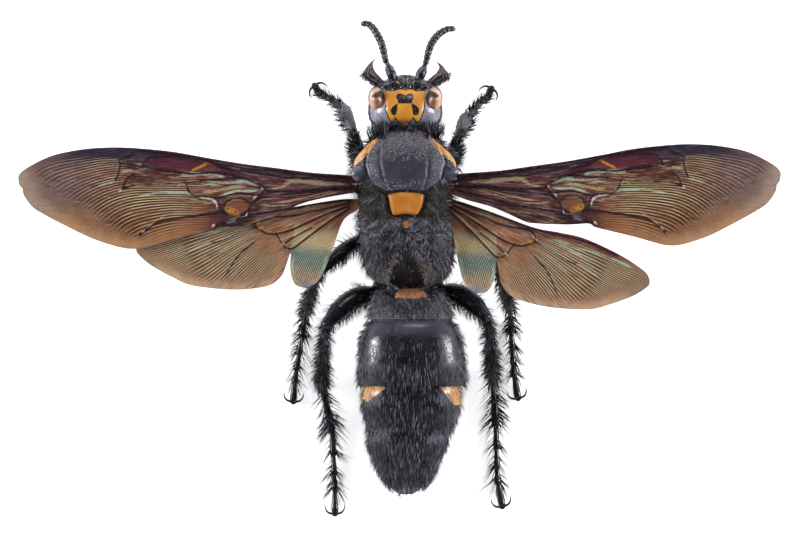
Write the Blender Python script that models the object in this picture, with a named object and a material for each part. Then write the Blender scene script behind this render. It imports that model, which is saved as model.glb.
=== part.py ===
"""A giant scoliid wasp with its wings spread, as a still life-size model.

Every size below is in millimetres, and to_object turns it into metres. +Y runs to the head, +X to the
right of the model seen from above, and +Z up. The floor is z = 0, right under the middle of the wingspan.
"""

import math
import random

import bmesh
import bpy
from mathutils import Matrix, Vector
from mathutils.geometry import delaunay_2d_cdt, intersect_point_line

MM = 0.001
GAP = 0.3
MODEL = "giant_scoliid_wasp"
DICE = random.Random(7)

# Body, from the head to the tip: each section is y, left, right, bottom and top
BODY_SIDES = 20
HEAD_SECTIONS = (
    (29.0, 0.2, 1.5, 7.4, 9.4),
    (28.4, -1.9, 3.6, 6.2, 10.6),
    (27.3, -3.6, 5.2, 5.4, 11.7),
    (26.0, -4.4, 6.05, 5.0, 12.7),
    (24.4, -4.65, 6.25, 4.8, 13.3),
    (23.0, -4.6, 6.2, 5.0, 13.2),
    (22.0, -4.0, 5.6, 5.6, 12.6),
    (21.25, -2.2, 3.9, 6.8, 11.4),
)
PRONOTUM_SECTIONS = (
    (20.95, -2.6, 4.3, 6.2, 12.4),
    (20.2, -4.2, 5.9, 4.9, 13.8),
    (18.4, -5.8, 7.2, 4.2, 14.4),
    (16.8, -7.1, 8.45, 4.6, 14.2),
    (14.6, -7.25, 8.7, 6.0, 13.4),
)
MESOTHORAX_SECTIONS = (
    (20.6, -1.9, 3.6, 7.2, 12.6),
    (20.0, -3.3, 4.8, 5.6, 14.2),
    (18.2, -4.9, 6.2, 4.2, 15.5),
    (16.0, -5.9, 7.3, 3.4, 16.1),
    (13.5, -6.3, 7.8, 3.1, 16.1),
    (11.0, -6.3, 7.9, 3.1, 15.8),
    (8.1, -6.1, 7.8, 3.4, 15.2),
)
METATHORAX_SECTIONS = (
    (7.8, -6.0, 7.7, 3.5, 14.9),
    (6.0, -5.9, 7.8, 3.7, 14.5),
)
PROPODEUM_SECTIONS = (
    (5.7, -5.8, 7.8, 3.8, 14.3),
    (3.0, -5.6, 7.9, 3.9, 13.6),
    (0.5, -4.9, 7.3, 4.3, 12.7),
    (-1.4, -3.1, 5.8, 4.9, 11.4),
    (-2.4, -0.8, 3.8, 5.6, 9.9),
)
ABDOMEN_SECTIONS = (
    (
        (-2.7, -0.6, 3.8, 5.4, 10.0),
        (-3.4, -3.3, 6.2, 4.4, 12.3),
        (-5.0, -4.1, 7.1, 3.6, 13.5),
        (-6.8, -4.7, 7.7, 3.2, 13.8),
        (-7.3, -4.6, 7.6, 3.3, 13.6),
    ),
    (
        (-7.6, -4.3, 7.7, 3.3, 13.1),
        (-8.6, -5.1, 8.5, 3.0, 13.7),
        (-10.2, -5.9, 9.2, 2.8, 14.0),
        (-13.0, -6.2, 9.65, 2.6, 14.1),
        (-16.0, -6.3, 9.9, 2.5, 13.9),
        (-17.2, -6.1, 9.7, 2.6, 13.5),
    ),
    (
        (-17.5, -5.4, 8.9, 2.8, 12.7),
        (-18.6, -5.6, 9.0, 2.6, 12.8),
        (-20.5, -5.45, 8.8, 2.5, 12.4),
        (-22.6, -5.1, 8.3, 2.4, 11.8),
        (-24.0, -4.9, 8.0, 2.5, 11.2),
    ),
    (
        (-24.3, -4.4, 7.0, 2.6, 10.5),
        (-25.2, -4.7, 7.2, 2.4, 10.5),
        (-27.0, -4.5, 6.8, 2.3, 9.8),
        (-28.4, -4.1, 6.2, 2.4, 9.1),
    ),
    (
        (-28.7, -3.6, 5.4, 2.6, 8.3),
        (-29.5, -3.9, 5.6, 2.4, 8.2),
        (-31.0, -3.0, 5.0, 2.3, 7.2),
        (-32.2, -2.0, 4.4, 2.4, 6.3),
    ),
    (
        (-32.5, -1.3, 3.3, 2.6, 5.5),
        (-33.2, -1.0, 2.9, 2.7, 5.0),
        (-33.8, 0.0, 1.9, 3.2, 4.2),
    ),
)

# Scutellum, the plate sunk in the back of the mesothorax
SCUTELLUM_SECTIONS = (
    (11.6, -2.0, 3.8, 12.0, 16.15),
    (10.6, -2.1, 3.9, 11.8, 16.4),
    (9.2, -1.6, 3.5, 11.8, 16.2),
    (8.3, -1.1, 3.0, 12.0, 15.6),
)

# Eyes and tegulae are flattened balls: middle, then half sizes
EYE_MIDDLES = {"left": (-3.75, 25.5, 10.6), "right": (5.25, 25.5, 10.6)}
EYE_HALF = (1.3, 1.95, 2.3)
EYE_TURN = 14.0
TEGULA_MIDDLES = {"left": (-5.75, 14.5, 13.45), "right": (7.25, 14.7, 13.45)}
TEGULA_HALF = (1.35, 1.25, 0.55)
TEGULA_TILT = 18.0

# Feelers and jaws: middle line, then half width at each point
SCAPES = {
    "left": ((-0.8, 27.6, 9.2), (-1.3, 29.4, 9.6), (-1.75, 30.6, 9.6)),
    "right": ((2.5, 27.6, 9.2), (3.1, 29.3, 9.6), (3.6, 30.35, 9.6)),
}
SCAPE_HALVES = (0.5, 0.65, 0.5)
FLAGELLA = {
    "left": (
        (-1.85, 30.9, 9.6),
        (-2.15, 31.6, 9.4),
        (-2.5, 33.0, 8.9),
        (-2.9, 34.3, 8.3),
        (-3.5, 35.5, 7.7),
        (-4.2, 36.5, 7.2),
        (-4.9, 37.0, 6.8),
        (-5.7, 36.95, 6.5),
    ),
    "right": (
        (3.65, 30.65, 9.6),
        (3.95, 31.5, 9.4),
        (4.35, 33.0, 8.9),
        (4.9, 34.3, 8.3),
        (5.7, 35.3, 7.7),
        (6.6, 35.95, 7.2),
        (7.5, 36.25, 6.8),
        (8.2, 36.2, 6.5),
    ),
}
FLAGELLUM_HALVES = (0.34, 0.48, 0.54, 0.55, 0.54, 0.5, 0.44, 0.3)
MANDIBLES = {
    "left": (
        (-3.0, 27.2, 7.5),
        (-4.4, 28.3, 7.2),
        (-4.7, 29.0, 7.0),
        (-4.6, 29.8, 6.8),
        (-4.35, 30.7, 6.6),
        (-3.7, 31.65, 6.5),
    ),
    "right": (
        (4.8, 27.2, 7.5),
        (6.2, 28.2, 7.2),
        (6.45, 28.9, 7.0),
        (6.3, 29.7, 6.8),
        (6.1, 30.5, 6.6),
        (5.5, 31.3, 6.5),
    ),
}
MANDIBLE_HALVES = ((1.0, 1.0), (1.2, 1.1), (1.05, 1.0), (0.85, 0.8), (0.5, 0.55), (0.27, 0.27))

# Face: the shield over the mouth, the lip under it, the rims that the feelers sit in, and three simple eyes
SHIELD = ((0.85, 28.2, 7.4), (2.7, 1.2, 1.5))
LIP = ((0.85, 28.9, 6.2), (1.5, 0.8, 0.8))
SOCKETS = (((-1.0, 28.1, 9.3), (0.85, 0.6, 0.75)), ((2.7, 28.1, 9.3), (0.85, 0.6, 0.75)))
OCELLI = (
    ((0.8, 25.95, 12.65), (0.45, 0.45, 0.35)),
    ((-0.05, 25.1, 13.05), (0.42, 0.42, 0.35)),
    ((1.65, 25.1, 13.05), (0.42, 0.42, 0.35)),
)
FACE_SEGMENTS = 9
BALL_SEGMENTS = 14

# Wings: one forewing and one hindwing, drawn as the right ones and fitted to each side
WING_THICK = 0.5
WING_HEIGHT = 12.0
HINDWING_DROP = 0.95
WING_RISE = 2.2
WING_ARCH = 0.7
WING_DROOP = 0.25
WING_LEVEL_Y = 14.0
WING_REACH = 50.0
WING_BODY_X = 0.8
WING_BODY_HALF = 7.0
OUTLINE_STEP = 2.3
CDT_NEAR = 0.12
FOREWING_ROOT = (8.1, 13.7)
HINDWING_ROOT = (6.4, 10.5)
WING_FITS = {
    "forewing_right": (FOREWING_ROOT, 1, 1.0, 0.0),
    "forewing_left": ((-5.8, 13.4), -1, 1.05, -0.3),
    "hindwing_right": (HINDWING_ROOT, 1, 1.0, 0.0),
    "hindwing_left": ((-6.9, 10.3), -1, 1.0, 9.4),
}
FOREWING_FRONT = (
    (6.9, 12.9),
    (7.4, 13.6),
    (8.8, 14.3),
    (15.0, 14.9),
    (25.0, 16.3),
    (35.0, 18.15),
    (40.0, 18.7),
    (47.3, 18.65),
    (51.5, 17.9),
    (55.0, 16.3),
    (56.8, 14.9),
    (56.9, 13.4),
    (56.3, 11.9),
    (53.25, 8.8),
    (50.0, 7.0),
    (46.3, 5.15),
    (42.6, 3.9),
    (40.5, 3.65),
    (38.5, 3.95),
    (35.0, 4.9),
    (30.0, 6.1),
)
FOREWING_REAR = {
    "right": ((25.0, 6.8), (20.0, 7.0), (15.0, 8.95), (10.0, 10.5), (7.4, 11.4)),
    "left": ((26.2, 6.9), (21.6, 7.8), (17.3, 10.0), (14.0, 11.0), (9.6, 11.8), (7.4, 12.0)),
}
HINDWING_OUTLINE = (
    (5.3, 10.9),
    (8.6, 10.4),
    (13.7, 8.7),
    (20.0, 6.4),
    (27.75, 4.7),
    (33.0, 2.25),
    (36.4, 0.0),
    (37.3, -1.9),
    (35.0, -3.85),
    (31.3, -5.15),
    (28.1, -5.9),
    (22.0, -5.5),
    (17.25, -4.2),
    (15.4, -2.6),
    (14.75, -0.6),
    (14.55, 1.1),
    (14.35, -0.5),
    (13.7, -2.3),
    (12.2, -3.4),
    (10.6, -3.0),
    (9.3, -0.75),
    (8.5, 2.8),
    (7.6, 7.0),
    (5.3, 9.6),
)

# Main veins, drawn on the right wings. Each is a ridge in the upper face
VEIN_HIGH = 0.32
VEIN_HALF = 0.36
VEIN_STEP = 2.6
VEIN_MARGIN = 0.55
FOREWING_VEINS = (
    ((8.3, 13.4), (15.0, 14.2), (20.0, 14.8), (25.0, 15.6), (30.0, 16.5)),
    ((8.3, 12.8), (13.1, 12.6), (17.3, 12.1), (22.0, 12.7), (28.5, 14.5), (32.4, 14.8), (39.4, 15.9)),
    ((30.0, 16.5), (35.0, 17.3), (38.5, 17.0), (39.4, 15.9)),
    ((28.5, 14.5), (35.0, 13.4), (40.0, 13.2), (42.2, 12.6)),
    ((39.4, 15.9), (42.4, 15.2), (42.2, 12.6)),
    ((22.0, 12.7), (22.4, 11.3), (28.7, 11.3), (32.1, 11.7), (33.2, 13.6)),
    ((9.0, 12.3), (13.1, 10.9), (21.2, 9.0), (24.2, 8.5), (27.0, 8.3), (28.5, 9.2)),
    ((22.4, 11.3), (24.2, 8.5)),
    ((28.7, 11.3), (28.5, 9.2), (32.3, 8.5), (36.9, 7.7), (39.0, 6.2)),
)
HINDWING_VEINS = (
    ((8.2, 9.9), (13.7, 8.0), (20.0, 5.8), (27.5, 4.0), (31.5, 2.2)),
    ((8.0, 9.3), (14.0, 6.8), (19.5, 4.6), (21.0, 1.2), (23.5, -3.3)),
    ((7.8, 8.7), (11.5, 5.6), (15.5, 2.6), (19.0, 0.4), (21.5, -2.6)),
    ((19.5, 4.6), (25.0, 1.4), (30.0, -1.4)),
)

# Legs: joints from the body outwards. The last two points of a foot are its claw joint and its tip
LEGS = {
    "fore_left": {
        "coxa": ((-1.6, 17.4, 5.4), (-3.6, 16.3, 4.3), (-5.3, 15.6, 4.0)),
        "knee": (-6.7, 20.5, 6.9),
        "heel": (-8.6, 24.5, 2.1),
        "foot": ((-9.8, 25.3, 1.5), (-12.1, 26.7, 0.6), (-13.1, 28.1, 0.45)),
        "femur_half": 1.0,
        "tibia_half": 0.95,
    },
    "fore_right": {
        "coxa": ((3.2, 17.4, 5.4), (5.2, 16.3, 4.3), (6.9, 15.6, 4.0)),
        "knee": (8.4, 19.8, 6.9),
        "heel": (10.1, 23.2, 2.1),
        "foot": ((11.1, 24.1, 1.5), (13.0, 26.0, 0.6), (14.0, 27.7, 0.45)),
        "femur_half": 1.0,
        "tibia_half": 0.95,
    },
    "mid_left": {
        "coxa": ((-1.6, 8.2, 5.0), (-3.4, 6.6, 3.9), (-4.9, 5.2, 3.7)),
        "knee": (-12.2, -0.6, 8.3),
        "heel": (-14.35, -6.6, 1.9),
        "foot": ((-14.8, -10.0, 1.1), (-15.9, -16.9, 0.6), (-16.1, -20.2, 0.45)),
        "femur_half": 1.1,
        "tibia_half": 1.0,
    },
    "mid_right": {
        "coxa": ((3.4, 8.2, 5.0), (5.2, 6.6, 3.9), (6.8, 5.4, 3.7)),
        "knee": (14.1, 1.6, 8.3),
        "heel": (16.55, -5.8, 1.9),
        "foot": ((16.8, -9.5, 1.1), (17.15, -16.0, 0.6), (17.85, -19.7, 0.45)),
        "femur_half": 1.1,
        "tibia_half": 1.0,
    },
    "hind_left": {
        "coxa": ((-0.6, 1.2, 5.4), (-2.2, -1.0, 4.2), (-3.4, -3.1, 3.9)),
        "knee": (-11.5, -8.3, 8.3),
        "heel": (-11.85, -17.7, 2.0),
        "foot": ((-10.3, -24.2, 1.1), (-9.85, -33.0, 0.6), (-9.8, -37.1, 0.45)),
        "femur_half": 1.3,
        "tibia_half": 1.15,
    },
    "hind_right": {
        "coxa": ((2.6, 1.2, 5.4), (4.4, -1.0, 4.2), (5.9, -2.9, 3.9)),
        "knee": (13.5, -7.3, 8.3),
        "heel": (14.15, -16.6, 2.0),
        "foot": ((14.4, -23.0, 1.1), (14.7, -32.1, 0.6), (15.5, -36.0, 0.45)),
        "femur_half": 1.3,
        "tibia_half": 1.15,
    },
}
LEG_SIDES = 8
FOOT_SIDES = 6
CLAW_SIDES = 5
COXA_HALVES = (1.5, 1.35, 1.0)
FEMUR_PROFILE = ((0.0, 0.55), (0.12, 0.85), (0.4, 1.0), (0.75, 0.85), (0.93, 0.62), (1.0, 0.6))
TIBIA_PROFILE = ((0.0, 0.6), (0.1, 0.72), (0.45, 0.85), (0.85, 1.0), (1.0, 0.85))
SEGMENT_DEPTH = 1.15
JOINT_REACH = 0.8

# Feet: four pieces that widen to their ends and the claw piece, each with its half width along it
FOOT_PIECES = 4
FOOT_STEP = 0.5
FOOT_PROFILE = ((0.04, 0.34), (0.6, 0.44), (0.94, 0.52))
CLAW_PROFILE = ((0.05, 0.34), (0.7, 0.52), (1.0, 0.34))
FLOOR_CUT = (Vector((0, 0, 0)), Vector((0, 0, -1)))

# Claws: steps ahead, out and up from the tip to the root, on to the bend, and back to the point
CLAW_STEPS = ((-0.45, 0.0, 0.15), (0.5, 0.9, 0.2), (-0.9, 0.75, 0.0))
CLAW_SIZES = (0.3, 0.28, 0.16)

# Spines: where they stand round a leg in degrees, and for each leg how many, where the first stands
# along its segment and how long they are. Foot bristles are where they root, and how far out and ahead
SPINE_SIDES = 4
SPINE_TURNS = (0, 180, 50, 130, -25, 205, 90)
SPINE_HALF = 0.26
SPINE_SUNK = 0.35
SPINE_LEAN = 38.0
SPINE_LAST = 0.93
SPINE_SPREAD = 0.15
SPINE_FLOOR = 0.3
FEMUR_SPINES = {"fore": (7, 0.35, 1.6), "mid": (7, 0.35, 1.3), "hind": (7, 0.35, 1.4)}
TIBIA_SPINES = {"fore": (8, 0.15, 1.2), "mid": (12, 0.15, 1.6), "hind": (13, 0.15, 1.9)}
BRISTLE_ROOT = (0.86, 0.12)
BRISTLE_REACH = {"fore": (0.8, 0.75), "mid": (1.0, 1.0), "hind": (1.15, 1.2)}

# Locks of the coat: half width and half thickness along a lock. A row is its count, how far round the
# body it goes each way, its share of the full width, and y and height over the skin at root, bend and tip
LOCK_SIZES = ((0.75, 0.3), (1.05, 0.3), (0.85, 0.26))
LOCK_TIMES = (0.0, 0.35, 0.7, 1.0)
LOCK_SUNK = 0.8
LOCK_CLEAR = 0.35
LOCK_STRAY = 0.3
LOCK_ASIDE = 0.05
FRINGE_ROOT = 1.6
FRINGE_BEND = (0.3, 0.7)
FRINGE_LENGTH = 2.2
FRINGE_SPREAD = 128.0
FRINGE_COUNTS = (12, 15, 14, 12, 9)
FRINGE_BROAD = 1.0
RUFF = (14, 125.0, 0.7, ((20.5, -0.5), (21.2, 1.0), (22.7, 0.9)))
MANTLE = (13, 120.0, 1.0, ((2.2, -0.8), (-0.4, 1.5), (-3.1, 1.2)))

# Edges that bend more than this many degrees stay sharp
SHARP_ANGLE = 50.0

# Looks by the first word of a node's name, each as base colour, roughness and metallic value
BODY_LOOK = "black_shell"
PART_LOOKS = {
    "head": "orange_plate",
    "scutellum": "orange_plate",
    "pronotum": "yellow_band",
    "eye": "eye",
    "mandible": "jaw",
    "scape": "feeler",
    "flagellum": "feeler",
    "tegula": "wing_plate",
    "forewing": "wing",
    "hindwing": "wing",
    "coxa": "leg",
    "femur": "leg",
    "tibia": "leg",
    "tarsus": "leg",
}
LOOKS = {
    "black_shell": ((0.02, 0.02, 0.03), 0.35, 0.1),
    "orange_plate": ((0.72, 0.29, 0.03), 0.4, 0.0),
    "yellow_band": ((0.75, 0.48, 0.16), 0.5, 0.0),
    "eye": ((0.34, 0.22, 0.19), 0.3, 0.0),
    "jaw": ((0.09, 0.07, 0.07), 0.4, 0.0),
    "feeler": ((0.012, 0.011, 0.014), 0.5, 0.0),
    "leg": ((0.03, 0.025, 0.025), 0.45, 0.0),
    "wing": ((0.22, 0.1, 0.055), 0.35, 0.2),
    "wing_plate": ((0.2, 0.19, 0.2), 0.4, 0.0),
}


def clear_scene():
    for old in list(bpy.data.objects):
        bpy.data.objects.remove(old, do_unlink=True)


def collection(name, helper=False):
    made = bpy.data.collections.new(name)
    bpy.context.scene.collection.children.link(made)
    made.hide_render = helper
    return made


def material(name):
    """The node's own material, in the look of its kind of part."""
    look = PART_LOOKS.get(name.split("_")[0], BODY_LOOK)
    colour, roughness, metallic = LOOKS[look]
    made = bpy.data.materials.new(name)
    made.use_nodes = True
    shader = made.node_tree.nodes["Principled BSDF"]
    shader.inputs["Base Color"].default_value = (*colour, 1.0)
    shader.inputs["Roughness"].default_value = roughness
    shader.inputs["Metallic"].default_value = metallic
    return made


def to_object(name, bm, group):
    """The mesh as an object of the group, in metres and with its faces pointing out."""
    bmesh.ops.recalc_face_normals(bm, faces=bm.faces)
    mesh = bpy.data.meshes.new(name)
    bm.to_mesh(mesh)
    bm.free()
    mesh.transform(Matrix.Scale(MM, 4))
    made = bpy.data.objects.new(name, mesh)
    group.objects.link(made)
    return made


def largest_body(obj):
    """Leaves only the closed surface with the greatest volume."""
    bm = bmesh.new()
    bm.from_mesh(obj.data)
    left = set(bm.faces)
    bodies = []
    while left:
        body = set()
        edge = [left.pop()]
        while edge:
            face = edge.pop()
            body.add(face)
            for side in face.edges:
                for other in side.link_faces:
                    if other in left:
                        left.discard(other)
                        edge.append(other)
        bodies.append(body)

    def size(body):
        total = 0.0
        for face in body:
            total += face.calc_area() * face.normal.dot(face.calc_center_median())
        return total

    keep = max(bodies, key=size)
    drop = [face for face in bm.faces if face not in keep]
    bmesh.ops.delete(bm, geom=drop, context="FACES")
    bm.to_mesh(obj.data)
    bm.free()


def apply_boolean(obj, others, operation):
    """One Boolean of the object with a list of closed meshes, applied. The others are removed."""
    group = collection("operands", helper=True)
    for other in others:
        for owner in list(other.users_collection):
            owner.objects.unlink(other)
        group.objects.link(other)
    modifier = obj.modifiers.new("boolean", "BOOLEAN")
    modifier.operation = operation
    modifier.solver = "EXACT"
    modifier.operand_type = "COLLECTION"
    modifier.collection = group
    bpy.context.view_layer.update()
    evaluated = obj.evaluated_get(bpy.context.evaluated_depsgraph_get())
    mesh = bpy.data.meshes.new_from_object(evaluated)
    obj.modifiers.clear()
    obj.data = mesh
    for other in list(group.objects):
        bpy.data.objects.remove(other, do_unlink=True)
    bpy.data.collections.remove(group)
    largest_body(obj)


def section_ring(bm, section, grow):
    """One upright section of the body, an ellipse with its middle at half height."""
    y, left, right, bottom, top = section
    middle = Vector(((left + right) / 2, y, (bottom + top) / 2))
    half_x = (right - left) / 2 + grow
    half_z = (top - bottom) / 2 + grow
    ring = []
    for step in range(BODY_SIDES):
        turn = 2 * math.pi * step / BODY_SIDES
        offset = Vector((half_x * math.sin(turn), 0.0, half_z * math.cos(turn)))
        ring.append(bm.verts.new(middle + offset))
    return ring


def skin_rings(bm, rings):
    """Faces from ring to ring, with a flat cap or a point at each end."""
    for first, second in zip(rings, rings[1:]):
        count = max(len(first), len(second))
        for step in range(count):
            after = (step + 1) % count
            corners = [first[step % len(first)], first[after % len(first)]]
            corners += [second[after % len(second)], second[step % len(second)]]
            bm.faces.new(list(dict.fromkeys(corners)))
    for end in (rings[0], rings[-1]):
        if len(end) > 2:
            bm.faces.new(end)


def body_loft(name, sections, group, grow=0.0):
    """A length of the body through its sections, grown all round by the last value."""
    bm = bmesh.new()
    rings = []
    for index, (y, *sides) in enumerate(sections):
        if index == 0:
            y += grow
        if index == len(sections) - 1:
            y -= grow
        rings.append(section_ring(bm, (y, *sides), grow))
    skin_rings(bm, rings)
    return to_object(name, bm, group)


def ball(name, middle, halves, turn, group, grow=0.0, segments=BALL_SEGMENTS):
    """A flattened ball, turned as the matrix says and grown all round by the value given."""
    bm = bmesh.new()
    bmesh.ops.create_uvsphere(bm, u_segments=segments, v_segments=segments // 2 + 1, radius=1.0)
    grown = [half + grow for half in halves]
    place = Matrix.Translation(middle) @ turn @ Matrix.Diagonal((*grown, 1.0))
    bmesh.ops.transform(bm, matrix=place, verts=bm.verts)
    return to_object(name, bm, group)


def across(direction):
    """Two unit vectors at right angles to the direction: one level, one as upright as it can be."""
    level = direction.cross(Vector((0, 0, 1))).normalized()
    return level, level.cross(direction).normalized()


def tube_rings(bm, points, halves, sides):
    """Rings along a line. A half size is one number or a pair, and 0 makes a point."""
    rings = []
    last = len(points) - 1
    for index, point in enumerate(points):
        direction = (points[min(index + 1, last)] - points[max(index - 1, 0)]).normalized()
        level, up = across(direction)
        half = halves[index]
        wide, high = half if isinstance(half, tuple) else (half, half)
        if wide == 0:
            rings.append([bm.verts.new(point)])
            continue
        ring = []
        for step in range(sides):
            turn = 2 * math.pi * (step + 0.5) / sides
            offset = level * wide * math.cos(turn) + up * high * math.sin(turn)
            ring.append(bm.verts.new(point + offset))
        rings.append(ring)
    return rings


def tube(name, points, halves, sides, group, cuts=()):
    """A tube along the points. Each cut is a plane's point and outward normal."""
    bm = bmesh.new()
    skin_rings(bm, tube_rings(bm, [Vector(p) for p in points], halves, sides))
    bmesh.ops.recalc_face_normals(bm, faces=bm.faces)
    for point, normal in cuts:
        trim(bm, point, normal)
    return to_object(name, bm, group)


def trim(bm, point, normal):
    """Takes away what lies beyond the plane, and closes the cut."""
    everything = bm.verts[:] + bm.edges[:] + bm.faces[:]
    cut = bmesh.ops.bisect_plane(
        bm, geom=everything, plane_co=point, plane_no=normal, clear_outer=True
    )
    edges = [piece for piece in cut["geom_cut"] if isinstance(piece, bmesh.types.BMEdge)]
    bmesh.ops.holes_fill(bm, edges=edges, sides=0)


def smooth_line(points, step):
    """Points along a Catmull-Rom curve through the given ones, about a step apart."""
    ends = [2 * points[0] - points[1], *points, 2 * points[-1] - points[-2]]
    line = []
    for before, start, end, after in zip(ends, ends[1:], ends[2:], ends[3:]):
        count = max(1, round((end - start).length / step))
        for index in range(count):
            t = index / count
            line.append(
                0.5
                * (
                    2 * start
                    + (end - before) * t
                    + (2 * before - 5 * start + 4 * end - after) * t**2
                    + (3 * start - before - 3 * end + after) * t**3
                )
            )
    line.append(points[-1])
    return line


def fit_wing(name, point):
    """A point drawn on the right wing, moved to where this wing has it."""
    root, side, stretch, sweep = WING_FITS[name]
    drawn_root = Vector(FOREWING_ROOT if name.startswith("fore") else HINDWING_ROOT)
    offset = point - drawn_root
    offset.x *= stretch
    offset.rotate(Matrix.Rotation(math.radians(sweep), 2))
    return Vector((root[0] + side * offset.x, root[1] + offset.y))


def wing_level(name, x, y):
    """Height of the middle of the membrane: it rises to the tip, arches and droops at the rear."""
    reach = max(0.0, abs(x - WING_BODY_X) - WING_BODY_HALF) / WING_REACH
    level = WING_HEIGHT + WING_RISE * reach + WING_ARCH * math.sin(math.pi * min(reach, 1.0))
    level -= WING_DROOP * ((WING_LEVEL_Y - y) / 10) ** 2
    return level - (HINDWING_DROP if name.startswith("hind") else 0.0)


def wing_outline(name):
    if name.startswith("hind"):
        drawn = HINDWING_OUTLINE
    else:
        drawn = FOREWING_FRONT + FOREWING_REAR[name.split("_")[1]]
    smooth = smooth_line([Vector(p) for p in drawn], OUTLINE_STEP)
    return [fit_wing(name, p) for p in smooth]


def nearest_on(line, point):
    """The nearest place on a line of points, the step of the line that it lies on, and its distance."""
    best = None
    for start, end in zip(line, line[1:]):
        place, share = intersect_point_line(point, start, end)
        place = Vector(place).to_2d()
        if share < 0:
            place = start
        if share > 1:
            place = end
        distance = (point - place).length
        if best is None or distance < best[2]:
            best = (place, end - start, distance)
    return best


def kept_inside(point, rim, margin):
    """The point, moved in from a clockwise rim where it is outside or nearer than the margin."""
    place, run, distance = nearest_on(rim, point)
    inward = Vector((run.y, -run.x)).normalized()
    if distance >= margin and (point - place).dot(inward) > 0:
        return point
    return place + inward * margin


def wing_veins(name, outline):
    """The middle line of each vein of this wing, kept clear of the outline."""
    drawn = HINDWING_VEINS if name.startswith("hind") else FOREWING_VEINS
    rim = [*outline, outline[0]]
    if WING_FITS[name][1] < 0:
        rim.reverse()
    lines = []
    for vein in drawn:
        smooth = smooth_line([Vector(p) for p in vein], VEIN_STEP)
        lines.append([kept_inside(fit_wing(name, p), rim, VEIN_MARGIN) for p in smooth])
    return lines


def ridge(veins, point):
    """How far the upper face is raised here: most on a vein's middle line, and nothing beside it."""
    distance = min(nearest_on(vein, point)[2] for vein in veins)
    return VEIN_HIGH * max(0.0, 1.0 - distance / VEIN_HALF)


def wing(name, group):
    """A membrane cut into the same triangles above and below, its veins raised in the upper face."""
    outline = wing_outline(name)
    veins = wing_veins(name, outline)
    points = list(outline)
    edges = []
    for vein in veins:
        for shift in (-VEIN_HALF, 0.0, VEIN_HALF):
            first = len(points)
            for index, p in enumerate(vein):
                run = vein[min(index + 1, len(vein) - 1)] - vein[max(index - 1, 0)]
                points.append(p + Vector((-run.y, run.x)).normalized() * shift)
            edges += [(i, i + 1) for i in range(first, len(points) - 1)]
    ring = list(range(len(outline)))
    points, _, faces, *_ = delaunay_2d_cdt(points, edges, [ring], 1, CDT_NEAR)
    bm = bmesh.new()
    upper, lower = [], []
    for p in points:
        level = wing_level(name, p.x, p.y)
        upper.append(bm.verts.new((p.x, p.y, level + WING_THICK / 2 + ridge(veins, p))))
        lower.append(bm.verts.new((p.x, p.y, level - WING_THICK / 2)))
    for face in faces:
        bm.faces.new([upper[i] for i in face])
        bm.faces.new([lower[i] for i in reversed(face)])
    bmesh.ops.delete(bm, geom=[v for v in bm.verts if not v.link_faces], context="VERTS")
    rim = [edge for edge in bm.edges if edge.is_boundary]
    bmesh.ops.bridge_loops(bm, edges=rim)
    return to_object(name, bm, group)


def spike(root, tip, half, group):
    """A four-sided spine from a root that is sunk in its leg to a sharp tip."""
    return tube("spike", (root, tip), (half, 0), SPINE_SIDES, group)


def leg_spikes(start, end, profile, half, row, group):
    """Spines along a leg segment, leaning to its far end and set round it in turn."""
    count, first, length = row
    start, end = Vector(start), Vector(end)
    direction = (end - start).normalized()
    level, up = across(direction)
    lean = math.radians(SPINE_LEAN)
    spikes = []
    for number in range(count):
        share = first + (SPINE_LAST - first) * number / (count - 1)
        turn = math.radians(SPINE_TURNS[number % len(SPINE_TURNS)])
        out = level * math.cos(turn) + up * math.sin(turn)
        middle = start.lerp(end, share)
        thick = half * at_share(profile, share)
        long = length * DICE.uniform(1 - SPINE_SPREAD, 1 + SPINE_SPREAD)
        tip = middle + out * (thick + long * math.sin(lean)) + direction * long * math.cos(lean)
        tip.z = max(tip.z, SPINE_FLOOR)
        spikes.append(spike(middle + out * thick * SPINE_SUNK, tip, SPINE_HALF, group))
    return spikes


def at_share(profile, share):
    """The profile's value at this share of its length."""
    for (low, first), (high, second) in zip(profile, profile[1:]):
        if share <= high:
            return first + (second - first) * (share - low) / (high - low)
    return profile[-1][1]


def body_point(sections, y, turn, out):
    """The place on the body at y, turned in radians from the top to the right, and moved out."""
    for (front, *first), (back, *second) in zip(sections, sections[1:]):
        share = min(max((front - y) / (front - back), 0.0), 1.0)
        left, right, bottom, top = (a + (b - a) * share for a, b in zip(first, second))
        if y >= back:
            break
    half_x = (right - left) / 2 + out
    half_z = (top - bottom) / 2 + out
    middle = Vector(((left + right) / 2, y, (bottom + top) / 2))
    return middle + Vector((half_x * math.sin(turn), 0.0, half_z * math.cos(turn)))


def lock(root, bend, tip, outward, broad, group):
    """A flat, tapered lock that bends from its sunk root to its tip, four-sided and flat to the body."""
    bm = bmesh.new()
    points = []
    for t in LOCK_TIMES:
        points.append(root * (1 - t) ** 2 + bend * 2 * t * (1 - t) + tip * t**2)
    rings = []
    for index, (wide, thick) in enumerate(LOCK_SIZES):
        run = points[index + 1] - points[max(index - 1, 0)]
        side = run.cross(outward).normalized()
        up = side.cross(run).normalized()
        ring = []
        for offset in (side * wide * broad, up * thick, -side * wide * broad, -up * thick):
            ring.append(bm.verts.new(points[index] + offset))
        rings.append(ring)
    rings.append([bm.verts.new(points[-1])])
    skin_rings(bm, rings)
    return to_object("lock", bm, group)


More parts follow.
